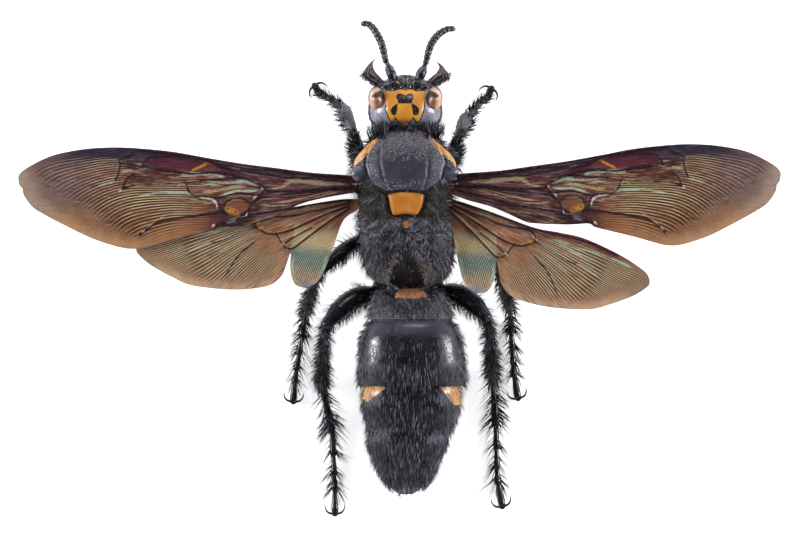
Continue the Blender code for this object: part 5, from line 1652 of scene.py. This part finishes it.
def leg_limbs(name):
    """The place function of every link of a leg, by the link's name."""
    coxa, knee, heel, foot, femur_half, tibia_half, bow = LEGS[name]
    coxa, knee, heel, foot = (np.array(part, float) for part in (coxa, knee, heel, foot))
    way = -1 if name.endswith("left") else 1
    limbs = {}

    def add(link, points, profile, scale=1.0, step=0.25, deep=LIMB_DEEP):
        rows, halves = shaped(smooth_line(points, step), profile, scale, 0.7)
        limbs[link] = (limb(rows, halves, deep), len(rows) - 1)

    hip = coxa[-1]
    out = sideways(knee - hip)
    out = out * way * np.sign(out[0])
    middle = (hip + knee) / 2 + out * bow + (0, 0, 0.25)
    add("coxa", coxa, tuple(zip((0, 0.5, 1), COXA_HALVES)))
    add("trochanter", (hip - unit(knee - hip) * 0.5, hip + unit(middle - hip) * 0.9),
        ((0, 0.7), (0.5, 0.85), (1, 0.6)))
    add("femur", (hip + unit(middle - hip) * 0.7, middle, knee), FEMUR_PROFILE, femur_half)
    shin = (knee + heel) / 2 + out * 0.2
    fore = name.startswith("fore")
    add("tibia", (knee, shin, heel), FORE_TIBIA_PROFILE if fore else TIBIA_PROFILE, tibia_half)
    path = smooth_line((heel, foot[0], foot[1]), 0.3)
    stops = FOOT_SHARES[name.split("_")[0]]
    for number, (start, end) in enumerate(zip(stops, stops[1:])):
        points = [along(path, share) for share in np.linspace(start, end, 4)]
        size = 1.25 if number == 0 and name.startswith("hind") else 1.0
        add(f"foot_{number}", points, tuple(zip((0, 0.5, 0.9, 1), (*FOOT_HALVES, 0.46))), size, 0.2, 1.0)
    forward = unit(foot[2] - foot[1])
    add("claw_piece", (foot[1], foot[2] - forward * 0.5), tuple(zip((0, 0.4, 0.8, 1), CLAW_PIECE_HALVES)),
        1.0, 0.2, 0.9)
    add("pad", (foot[2] - forward * 0.45, foot[2] - forward * 0.22), ((0, 0.4), (0.5, 0.48), (1, 0.44)),
        1.0, 0.1, 0.8)
    for side in (-1, 1):
        level = sideways(forward) * side
        root = foot[2] - forward * 0.75 + (0, 0, 0.1)
        points = (root, root + forward * 0.35 + level * 0.45 + (0, 0, 0.25), root + forward * 0.1
            + level * 1.1 + (0, 0, 0.3),
                  root - forward * 0.5 + level * 1.45 + (0, 0, 0.05), root - forward * 1.0 + level * 1.4
                      - (0, 0, 0.15))
        add(f"claw_{side}", points, ((0, 0.2), (0.4, 0.17), (0.8, 0.1), (1, 0.03)), 1.0, 0.12, 1.0)
        spur = heel + level * tibia_half * 0.5 - (0, 0, 0.2)
        ahead = unit(foot[0] - heel)
        add(f"spur_{side}", (spur, spur + ahead * 0.9 + level * 0.25, spur + ahead * 1.9 + level * 0.4),
            ((0, 0.14), (0.5, 0.11), (1, 0.02)), 1.0, 0.2, 1.0)
    return limbs


# %% The skins of the legs
THICK_LINKS = ("coxa", "femur", "tibia")
FORE_SHIN = {
    "shin": lambda points: step_up(points[:, 1], 20.9, 21.7) * step_up(-points[:, 1], -25.5, -24.7),
    "felt": lambda points: 0.7 * step_up(points[:, 1], 20.9, 21.7),
}
leg_look = shell_look("leg_shell", 7.0, 0.24, (("shin", "6a6268", "48424a"),))
LEG_LIMBS = {name: leg_limbs(name) for name in LEGS}
for name, limbs in LEG_LIMBS.items():
    patches = [(place, 32 if link in THICK_LINKS else 18, rows) for link, (place, rows) in limbs.items()]
    made = skin(f"leg_skin_{name}", patches, FORE_SHIN if name.startswith("fore") else None)
    seat(made, leg_look, "leg", *[f"{link}_{name}" for link in (*THICK_LINKS, "tarsus")])

# %% [markdown]
# ## The face
# Under the feelers a wasp has a shield, the clypeus, and a lip below it, and on its crown three simple eyes.
# The shield and the lip are flattened balls half sunk in the head, and the simple eyes are drops of clear,
# dark amber, which is all that anyone sees of them.

# %% The face and the simple eyes
SHIELD, SHIELD_HALF = (0.85, 27.85, 7.5), (2.6, 1.15, 1.5)
LIP, LIP_HALF = (0.85, 28.3, 6.2), (1.45, 0.8, 0.8)
SOCKET_KNOBS = ((-0.85, 27.95, 9.3), (2.55, 27.95, 9.3))
SOCKET_HALF = (0.72, 0.5, 0.72)
OCELLI = ((0.75, 25.85, 12.72), (-0.2, 25.0, 13.05), (1.7, 25.0, 13.05))
OCELLUS_HALF = (0.14, 0.14, 0.1)

face_look = shell_look("face_shell", 8.0, 0.3)
face_balls = [(ball_place(SHIELD, SHIELD_HALF), 64, 40), (ball_place(LIP, LIP_HALF), 48, 30)]
for knob in SOCKET_KNOBS:
    face_balls.append((ball_place(knob, SOCKET_HALF), 40, 24))
seat(skin("face", face_balls), face_look, "black_shell")

amber = Look("simple_eye")
amber.set(Base_Color=amber.blend(amber.noise(amber.place(), 4.0), "1a100a", "4a2a16"), Roughness=0.3)
eyelets = [(ball_place(middle, OCELLUS_HALF), 24, 16) for middle in OCELLI]
seat(skin("simple_eyes", eyelets), amber, "eye")

# %% [markdown]
# ## Hair
# What makes this wasp look alive is its hair. Each hair is a closed blade with three sides that bends once,
# so it is a solid that could be printed, and ten triangles are enough. It is planted on a skin by the skin's
# own place function: u and v give its root, the surface gives the way that it lies, and it leans away from
# that by its lift. Its UV patch lies at u, v too, so neighbours on the skin are neighbours in the chart.

# %% Planting and growing hair
PATCH = 0.0026
ROOT_SUNK = 0.06
HAIR_FLOOR, HAIR_TOP = 0.02, 16.8
BLADE_UV = np.array([(0, 0), (0.5, 0), (1, 0), (0, 0.5), (0.5, 0.5), (1, 0.5), (0.5, 1)]) * PATCH
BLADE_FACES = np.array([(0, 1, 4), (0, 4, 3), (1, 2, 5), (1, 5, 4), (2, 0, 3), (2, 3, 5), (3, 4, 6),
    (4, 5, 6), (5, 3, 6), (0, 2, 1)])


def roots_on(place, count, keep, cells=150):
    """Scattered u, v over a skin, as many per square millimetre everywhere, where keep lets them grow."""
    middle = (np.arange(cells) + 0.5) / cells
    u, v = (grid.ravel() for grid in np.meshgrid(middle, middle))
    round_it, along_it = slopes(place, u, v)
    normal = np.cross(along_it, round_it)
    weight = np.linalg.norm(normal, axis=-1) * keep(place(u, v), unit(normal))
    pick = DICE.choice(len(u), count, p=weight / weight.sum())
    stray = (DICE.random((2, count)) - 0.5) / cells
    return u[pick] + stray[0], np.clip(v[pick] + stray[1], 0.001, 0.999)


# %% A bed of hair
def bed(place, count, keep, length, lift, half=0.035, flow=(0, 1), stray=0.25, band=(0, 1), marks=None,
        shade=0.3, curl=0.45):
    """One bed of hair. The flow is how much the hair follows the skin round and along it, the lift is in
    degrees, the shade is the share of pale hairs, and the curl is how much of the lift its tip keeps."""
    u, v = roots_on(place, count, keep)
    points = place(u, v)
    round_it, along_it = slopes(place, u, v)
    normal = unit(np.cross(along_it, round_it))
    lie = unit(unit(round_it) * flow[0] + unit(along_it) * flow[1] + DICE.normal(0, stray, (count, 3)))
    lie = unit(lie - normal * np.sum(lie * normal, axis=-1, keepdims=True))
    length = (length(points, normal) if callable(length) else length) * DICE.uniform(0.65, 1.15, count)
    lift = np.radians((lift(points, normal) if callable(lift) else lift) + DICE.normal(0, 7, count))
    colour_at = sum((rule(points) for rule in marks.values()),
        np.zeros(count)) if marks else np.zeros(count)
    number, bands = band
    return {
        "root": points - normal * ROOT_SUNK, "normal": normal, "lie": lie, "length": length, "lift": lift,
        "half": np.full(count, half) * DICE.uniform(0.8, 1.2, count),
            "uv": np.stack([(u % 1 + number) / bands, v], -1),
        "mark": np.clip(colour_at, 0, 1), "curl": np.full(count, curl),
        "shade": np.where(DICE.random(count) < shade, DICE.uniform(0.55, 1.0, count),
            DICE.uniform(0.0, 0.3, count)),
    }


# %% Blades from beds of hair
def grow(name, beds, look, slot):
    """Joins beds of hair to one mesh of blades, with the chart, the marks and a shade for each hair."""
    hair = {key: np.concatenate([one[key] for one in beds]) for key in beds[0]}
    count = len(hair["root"])
    lift, length = hair["lift"][:, None], hair["length"][:, None]
    first = unit(hair["lie"] * np.cos(lift) + hair["normal"] * np.sin(lift))
    tip_lift = lift * hair["curl"][:, None]
    second = unit(hair["lie"] * np.cos(tip_lift) + hair["normal"] * np.sin(tip_lift))
    middle = hair["root"] + first * length * 0.5
    tip = middle + second * length * 0.5
    side = unit(np.cross(first, hair["normal"] + 0.01))
    up = np.cross(side, first)
    corners = np.zeros((count, 7, 3))
    for number, turn in enumerate(np.radians((90, 210, 330))):
        ring = (side * math.cos(turn) + up * math.sin(turn)) * hair["half"][:, None]
        corners[:, number] = hair["root"] + ring
        corners[:, number + 3] = middle + ring * 0.7
    corners[:, 6] = tip
    corners[..., 2] = np.clip(corners[..., 2], HAIR_FLOOR, HAIR_TOP)
    faces = (BLADE_FACES[None] + np.arange(count)[:, None, None] * 7).reshape(-1)
    mesh = bpy.data.meshes.new(name)
    mesh.vertices.add(count * 7)
    mesh.vertices.foreach_set("co", (corners * MM).ravel())
    mesh.loops.add(len(faces))
    mesh.loops.foreach_set("vertex_index", faces.astype(np.int32))
    mesh.polygons.add(count * 10)
    mesh.polygons.foreach_set("loop_start", np.arange(count * 10, dtype=np.int32) * 3)
    mesh.update(calc_edges=True)
    chart = mesh.uv_layers.new(name="OFBake")
    patches = hair["uv"][:, None] * (1 - PATCH) + BLADE_UV[BLADE_FACES.ravel()][None]
    chart.data.foreach_set("uv", patches.ravel().astype(np.float32))
    for key in ("mark", "shade"):
        mesh.attributes.new(key, "FLOAT", "POINT").data.foreach_set("value",
            np.repeat(hair[key], 7).astype(np.float32))
    mesh.shade_smooth()
    made = bpy.data.objects.new(name, mesh)
    bpy.context.scene.collection.objects.link(made)
    return seat(made, look, slot)


# %% The finish of the hair
def hair_look(name, dark, pale, golden):
    """Hair from dark to pale by its shade, golden where the skin under it is marked."""
    look = Look(name)
    grain = look.noise(look.place(), 3.0, 2.0)
    tint = look.blend((look.mark("shade") + (grain - 0.5) * 0.3).step(0.25, 0.95), dark, pale)
    look.set(Base_Color=look.blend(look.mark("mark"), tint, golden), Roughness=0.36 + (grain - 0.5) * 0.2,
        Specular_IOR_Level=0.4)
    return look


coat_look = hair_look("coat_hair", "0a0a0f", "a9a7b5", "c0a05c")
leg_hair = hair_look("leg_hair", "08080c", "858390", "c0915a")


def all_over(points, normal):
    """A keep rule that lets hair grow everywhere."""
    return np.ones(len(points))


# %% [markdown]
# ## The coat of the thorax
# The beds differ in length and lie: a ruff that stands forward over the neck, a short grey down on the
# front of the shield, a shaggy coat on the sides and behind the wings. The bare plates stay bare.

# %% The coat of the thorax
def bare_plates(points):
    return 1 - np.maximum(scutellum_mask(points), THORAX_MARKS["collar"](points))


def shield_keep(points, normal):
    inside = step_up(depth_inside(*flat(points), SCUTUM), -0.1, 0.2) * step_up(normal[:, 2], 0.2, 0.5)
    return inside * (0.25 * step_up(points[:, 1], 15.8, 17.4) + 0.75 * step_up(points[:, 1], 17.6, 19.4))


def ruff_keep(points, normal):
    """The long bristles that stand out on both sides of the neck."""
    return (near_y(19.6, 21.2)(points) * step_up(np.abs(points[:, 0] - BODY_MIDDLE), 2.6, 3.4)
        * step_up(points[:, 2], 7.0, 9.0))


def shield_thin(points, normal):
    return step_up(depth_inside(*flat(points), SCUTUM), -0.1, 0.2) * step_up(normal[:, 2], 0.2, 0.5)


def side_keep(points, normal):
    return step_up(normal[:, 2], 0.75, 0.3) * near_y(1.0, 19.5)(points) * bare_plates(points)


def rear_keep(points, normal):
    behind = near_y(-2.6, 7.6)(points) * (0.35 + 0.65 * step_up(normal[:, 2], -0.3, 0.2))
    return (behind * bare_plates(points)
        * (1 - 0.95 * above_waist(*flat(points)) * step_up(normal[:, 2], 0.2, 0.5)))


def wing_side_keep(points, normal):
    outside = step_up(-depth_inside(*flat(points), SCUTUM), 0.1, 0.4) * near_y(7.5, 13.0)(points)
    return outside * bare_plates(points) * step_up(normal[:, 2], 0.0, 0.4)


def vee_keep(points, normal):
    """The golden hair along both edges of the hollow above the waist."""
    near = above_waist(1.0 + (points[:, 0] - 1.0) * 0.62, points[:, 1] + 0.2)
    return near * (1 - above_waist(*flat(points))) * step_up(normal[:, 2], 0.2, 0.5)


def middle_band_keep(points, normal):
    """The grey hair on both sides of the orange spot behind the scutellum."""
    beside = (step_up(np.abs(points[:, 0] - METANOTUM_SPOT[0]), 0.6, 0.9)
        * step_up(-np.abs(points[:, 0] - METANOTUM_SPOT[0]), -4.0, -2.5))
    return near_y(6.0, 7.6)(points) * beside * step_up(normal[:, 2], 0.3, 0.6)


def tinged(share):
    """Marks for a bed whose hair is golden by this share."""
    return {"gold": lambda points: np.full(len(points), share)}


# %% The beds of the thorax
thorax_beds = [
    bed(thorax_place, 1300, lambda p, n: near_y(20.6, 21.9)(p), 2.5, 42, 0.046, (0, -1), 0.55, shade=0.1),
    bed(thorax_place, 2600, shield_keep, 0.42, 24, 0.044, (0, 1), 0.9, marks=tinged(0.14), shade=0.9),
    bed(thorax_place, 420, ruff_keep, 3.0, 62, 0.056, (0, -1), 0.4, shade=0.1, curl=0.75),
    bed(thorax_place, 250, shield_thin, 0.3, 40, 0.018, (0, 1), 0.3, shade=0.3),
    bed(thorax_place, 1800, side_keep, 1.9, 46, 0.046, (0, 0.5), 0.4, shade=0.12, curl=0.7),
    bed(thorax_place, 1500, wing_side_keep, 0.7, 28, 0.036, (0, 1), 0.6, marks=tinged(0.12), shade=0.08),
    bed(thorax_place, 4600, rear_keep, 0.95, 22, 0.034, (0, 1), 0.6, marks=tinged(0.06), shade=0.76),
    bed(thorax_place, 500, rear_keep, 1.7, 40, 0.044, (0, 1), 0.5, shade=0.1, curl=0.7),
    bed(thorax_place, 500, vee_keep, 0.8, 20, 0.032, (0, 1), 0.5, marks=tinged(0.55), shade=0.9),
    bed(thorax_place, 700, middle_band_keep, 0.7, 25, 0.032, (0, 1), 0.6, marks=tinged(0.05), shade=0.9),
]
grow("coat_thorax", thorax_beds, coat_look, "black_shell")

# %% [markdown]
# ## The coat of the abdomen
# On each ring the hair lies flat and backward, and along its free edge more of it makes a fringe over the
# next ring. On the flanks it stands out. The yellow marks carry the same hair, in gold.

# %% The coat of the abdomen
BARE_BAND = (-8.0, -10.4)
# Spots of pale hair that are painted highlights: where each is and its half widths
GLINTS = (
    ((-4.1, -13.2), (0.8, 1.5)), ((7.1, -13.2), (0.8, 1.5)), ((-3.6, -19.3), (0.65, 0.5)),
    ((6.5, -19), (0.7, 0.6)), ((-2.6, -24.4), (0.85, 0.5)), ((5.2, -24.8), (0.85, 0.55)),
)


def back_keep(points, normal):
    band = near_y(BARE_BAND[1], BARE_BAND[0])(points) * step_up(normal[:, 2], 0.2, 0.6)
    rear = 0.28 + 0.72 * step_up(-ring_reach(points), -4.0, -2.6)
    return ((1 - 0.93 * band) * step_up(points[:, 1], -32.6, -32.0) * rear
        * (1 - 0.5 * step_up(-normal[:, 2], 0.3, 0.8)))


def fringe_keep(points, normal):
    strong = np.where(points[:, 1] > -18, 1.0, 0.3) * (points[:, 1] > -33) * (points[:, 1] < -9)
    return (ring_reach(points) < 0.75) * strong * (0.4 + 0.6 * step_up(normal[:, 2], -0.6, 0.2))


def glint_keep(points, normal):
    """Pale hair planted as a painted highlight, where the rings shine softly on both sides."""
    spots = [blob(*flat(points), spot, halves) for spot, halves in GLINTS]
    return np.sum(spots, axis=0) * step_up(normal[:, 2], 0.2, 0.5)


def clear_of_marks(points, normal):
    """The length of the hair, shorter where it would hang over the yellow marks."""
    over = (near_y(MARKS_FRONT, MARKS_FRONT + 1.7, 0.2)(points)
        * step_up(np.abs(points[:, 0] - MARKS_MIDDLE), 3.0, 3.6))
    return 1.6 - 1.15 * over


def flank_keep(points, normal):
    return step_up(normal[:, 2], 0.6, 0.1) * step_up(normal[:, 2], -0.8, -0.3)


# %% The beds of the abdomen
abdomen_beds = [
    bed(abdomen_place, 7400, lambda p, n: back_keep(p, n) * (p[:, 1] < -8), clear_of_marks, 12, 0.028,
        (0, 1), 0.1, marks=GOLD_MARKS, shade=0.44),
    bed(abdomen_place, 1700, lambda p, n: back_keep(p, n) * (p[:, 1] > -7.0), 0.7, 14, 0.028, (0, 1), 0.08,
        marks=GOLD_MARKS, shade=0.6),
    # Pale hair as painted highlights: on the second ring, then on the third and fourth
    bed(abdomen_place, 400, lambda p, n: glint_keep(p, n) * (p[:, 1] > -16), 1.0, 10, 0.03, (0, 1),
        0.12, shade=1.0),
    bed(abdomen_place, 840, lambda p, n: glint_keep(p, n) * (p[:, 1] < -16), 1.15, 25, 0.036, (0, 1),
        0.2, shade=1.0),
    bed(abdomen_place, 900, lambda p, n: near_y(-6.4, -3.2)(p), 1.1, 26, 0.034, (0, 1), 0.25, shade=0.4),
    bed(abdomen_place, 2000, fringe_keep, clear_of_marks, 14, 0.038, (0, 1), 0.14,
        marks=GOLD_MARKS, shade=0.3),
    bed(abdomen_place, 1500, flank_keep, 1.5, 40, 0.042, (0, 1), 0.3, shade=0.12, curl=0.7),
    bed(abdomen_place, 260, lambda p, n: near_y(-32.2, -30.0)(p), 1.2, 26, 0.038, (0, 1), 0.3, shade=0.2),
]
grow("coat_abdomen", abdomen_beds, coat_look, "black_shell")

# %% [markdown]
# ## Hair of the head and the jaws
# The face has the shortest hair, standing up between the feelers, with longer hair on the cheeks and on the
# outer sides of the jaws.

# %% The hair of the head
def face_keep(points, normal):
    return step_up(points[:, 1], 26.9, 27.6) * step_up(normal[:, 2], -0.6, 0.0)


def crown_keep(points, normal):
    plate = plate_depth(*flat(points)) > -0.1
    clear = 1 - 0.97 * temple_sheen_mask(points)
    return (np.where(plate & (points[:, 2] > 9), 0.02, 1.0) * clear * near_y(21.3, 27.0)(points)
        * step_up(normal[:, 2], -0.1, 0.3))


def cheek_keep(points, normal):
    return (step_up(normal[:, 2], 0.2, -0.2) * near_y(21.3, 27.8)(points)
        * (1 - 0.9 * near_y(22.2, 26.8)(points) * (points[:, 2] > 7.5)))


# %% The beds of the head, the jaws and the first joints of the feelers
head_beds = [
    bed(head_place, 1000, face_keep, 0.6, 60, 0.024, (0, -1), 0.5, (0, 3), shade=0.35),
    bed(head_place, 600, crown_keep, 0.5, 35, 0.02, (0, 1), 0.3, (0, 3), shade=0.4),
    bed(head_place, 1300, cheek_keep, 1.0, 45, 0.026, (0, 0.6), 0.5, (0, 3), shade=0.2),
]
for number, side in enumerate(("left", "right")):
    outer = -1 if side == "left" else 1
    outside = (lambda points, normal: step_up(normal[:, 0] * outer, 0.0, 0.6)
        * step_up(-points[:, 1], -29.9, -29.2))
    base = lambda points, normal: step_up(-points[:, 1], -28.6, -28.0)
    head_beds.append(bed(blade(JAW_ROWS[side], JAW_DEEP), 280, outside, 1.15, 45, 0.034, (0, -0.4), 0.4,
        (1, 3), shade=0.3))
    head_beds.append(bed(blade(JAW_ROWS[side], JAW_DEEP), 220, base, 1.0, 50, 0.03, (0, -0.4), 0.5,
        (1, 3), shade=0.3))
    head_beds.append(bed(SCAPE_PLACES[side], 220, all_over, 0.5, 40, 0.02, (0, 1), 0.35, (2, 3), shade=0.4))
grow("coat_head", head_beds, coat_look, "black_shell")

# %% [markdown]
# ## Hair and spines of the legs
# A scoliid digs for the grubs that its young live on, and its legs are its tools: the shins are brushes of
# stiff bristles with a few strong spines among them, and each foot joint carries a crown of bristles at its
# far end. They are the same blades as the hair, only thicker.

# %% The hair of the legs
SHIN_SPINES = {"fore": 14, "mid": 22, "hind": 26}
SHIN_SPINE_LENGTH = {"fore": 1.7, "mid": 2.0, "hind": 2.1}
SHIN_HAIR_LENGTH = {"fore": 1.4, "mid": 1.7, "hind": 2.0}
SHIN_COAT = {"fore": (110, 0.45), "mid": (280, 1.0), "hind": (520, 1.4)}
SHIN_HAIRS = {"fore": 110, "mid": 270, "hind": 420}
BRISTLE_LENGTH = {"fore": 1.5, "mid": 2.6, "hind": 3.2}
FIRST_FOOT_BRISTLES = {"fore": 14, "mid": 34, "hind": 84}
print("hairs on the shins, by leg:", SHIN_HAIRS)


# %% The beds of a leg
def far_end(place, low):
    """A keep rule for the far end of a limb, as a share of its length."""
    root, tip = place(np.array([0.0]), np.array([0.0]))[0], place(np.array([0.0]), np.array([1.0]))[0]
    run = tip - root

    def keep(points, normal):
        share = (points - root) @ run / (run @ run)
        return step_up(share, low - 0.05, low + 0.05) * (0.15 + np.linalg.norm(normal[:, :2], axis=-1) ** 4)
    return keep


def leg_beds(name):
    """All beds of hair of one leg, from the hip to the claws."""
    limbs = LEG_LIMBS[name]
    kind = name.split("_")[0]
    fringe = lambda p, n: (0.15 + step_up(-n[:, 1], 0.0, 0.6)) * (1 - 0.75 * step_up(n[:, 2], 0.4, 0.8))
    way = -1 if name.endswith("left") else 1
    side = all_over
    if kind == "fore":
        side = lambda p, n: 0.06 + step_up(n[:, 0] * way, 0.1, 0.7)
        fringe = side
    beds = [
        bed(limbs["coxa"][0], 130, all_over, 1.1, 45, 0.04, (0, 1), 0.4, (0, 8)),
        bed(limbs["femur"][0], 300, fringe, 1.7, 56, 0.05, (0, 1), 0.25, (1, 8), shade=0.12, curl=0.8),
        # Pale hair lying flat along the thigh: painted highlight streaks
        bed(limbs["femur"][0], 110, all_over, 1.3, 12, 0.036, (0, 1), 0.12, (1, 8), shade=0.8),
        bed(limbs["tibia"][0], SHIN_COAT[kind][0], all_over, SHIN_COAT[kind][1], 36, 0.045, (0, 1), 0.22,
            (2, 8), shade=0.25),
        bed(limbs["tibia"][0], SHIN_HAIRS[kind], side, SHIN_HAIR_LENGTH[kind], 52, 0.056, (0, 1), 0.2,
            (2, 8), shade=0.15, curl=0.85),
        bed(limbs["tibia"][0], SHIN_SPINES[kind], side, SHIN_SPINE_LENGTH[kind], 38, 0.075, (0, 1), 0.12,
            (2, 8), shade=0.1, curl=0.85),
    ]
    long = BRISTLE_LENGTH[kind]
    for number in range(4):
        place = limbs[f"foot_{number}"][0]
        band = (3 + number, 8)
        beds.append(bed(place, 34 if number else 70, all_over, 0.5, 26, 0.034, (0, 1), 0.2,
            band, shade=0.25))
        beds.append(bed(place, 13, far_end(place, 0.7), long, 46, 0.085, (0, 1), 0.1, band,
            shade=0.1, curl=0.9))
        beds.append(bed(place, 16 if number else 36, far_end(place, 0.3), long * 0.75, 42, 0.07, (0, 1),
            0.12, band, shade=0.1, curl=0.9))
        if number == 0:
            beds.append(bed(place, FIRST_FOOT_BRISTLES[kind], far_end(place, 0.08), long, 46, 0.07, (0, 1),
                0.12, band, shade=0.1, curl=0.9))
    beds.append(bed(limbs["claw_piece"][0], 60, all_over, 0.45, 30, 0.02, (0, 1), 0.2, (7, 8), shade=0.2))
    return beds


for name in LEGS:
    grow(f"coat_leg_{name}", leg_beds(name), leg_hair, "leg")

# %% [markdown]
# ## Floor, light and camera
# The specimen lies on a white table between two large soft boxes, which draw long soft highlights along the
# body, and two weaker ones light it from ahead and behind. The camera hangs straight above it with a long
# lens, as for a plate in a book.

# %% The table
TABLE = 3.0
WHITE = "f6f6f6"
bm = bmesh.new()
bmesh.ops.create_grid(bm, x_segments=1, y_segments=1, size=TABLE)
table = finish_mesh("table", bm)
table_look = Look("table_top")
table_look.set(Base_Color=WHITE, Roughness=0.9, Specular_IOR_Level=0.0, Emission_Color=WHITE,
    Emission_Strength=0.8)
table.data.materials.append(table_look.material)
table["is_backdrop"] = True

# %% Light
world = bpy.data.worlds.new("sky")
bpy.context.scene.world = world
world.use_nodes = True
world.node_tree.nodes["Background"].inputs["Color"].default_value = (0.8, 0.82, 1.0, 1.0)
world.node_tree.nodes["Background"].inputs["Strength"].default_value = 0.16
COOL_WHITE = (0.93, 0.94, 1.0)
SOFT_BOXES = (
    ("box_left", (-1.2, 0.1, 0.42), 0.26, 0.4, 21), ("box_right", (1.2, 0.1, 0.42), 0.26, 0.4, 20),
    ("box_front", (0.15, 1.1, 0.8), 0.5, 0.3, 5), ("box_back", (-0.1, -1.2, 0.35), 0.6, 0.3, 1.5),
)
for name, spot, size, height, power in SOFT_BOXES:
    lamp = bpy.data.lights.new(name, "AREA")
    lamp.shape, lamp.size, lamp.size_y, lamp.energy = "RECTANGLE", size, height, power
    lamp.color = COOL_WHITE
    box = bpy.data.objects.new(name, lamp)
    box.location = spot
    box.rotation_euler = (-Vector(spot)).to_track_quat("-Z", "Y").to_euler()
    bpy.context.scene.collection.objects.link(box)

# %% Camera
LENS = 600.0
SENSOR = 36.0
FRAME_WIDTH = 120.0 * MM
REFERENCE_HEIGHT = 10.0 * MM
eye_of_camera = bpy.data.cameras.new("camera")
eye_of_camera.lens, eye_of_camera.sensor_width = LENS, SENSOR
eye_of_camera.clip_end = 20.0
camera = bpy.data.objects.new("camera", eye_of_camera)
camera.location = (0.0, 0.0, REFERENCE_HEIGHT + FRAME_WIDTH * LENS / SENSOR)
bpy.context.scene.collection.objects.link(camera)
bpy.context.scene.camera = camera
bpy.context.scene.view_settings.view_transform = "Standard"
print("camera height in metres:", round(camera.location.z, 3))

# %% Sizes and the end
sizes = {"cad": [list(corner) for corner in CAD_BOX], "visual": [list(corner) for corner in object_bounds()]}
for label, (low, high) in sizes.items():
    print(label, [round((high[k] - low[k]) / MM, 2) for k in range(3)])
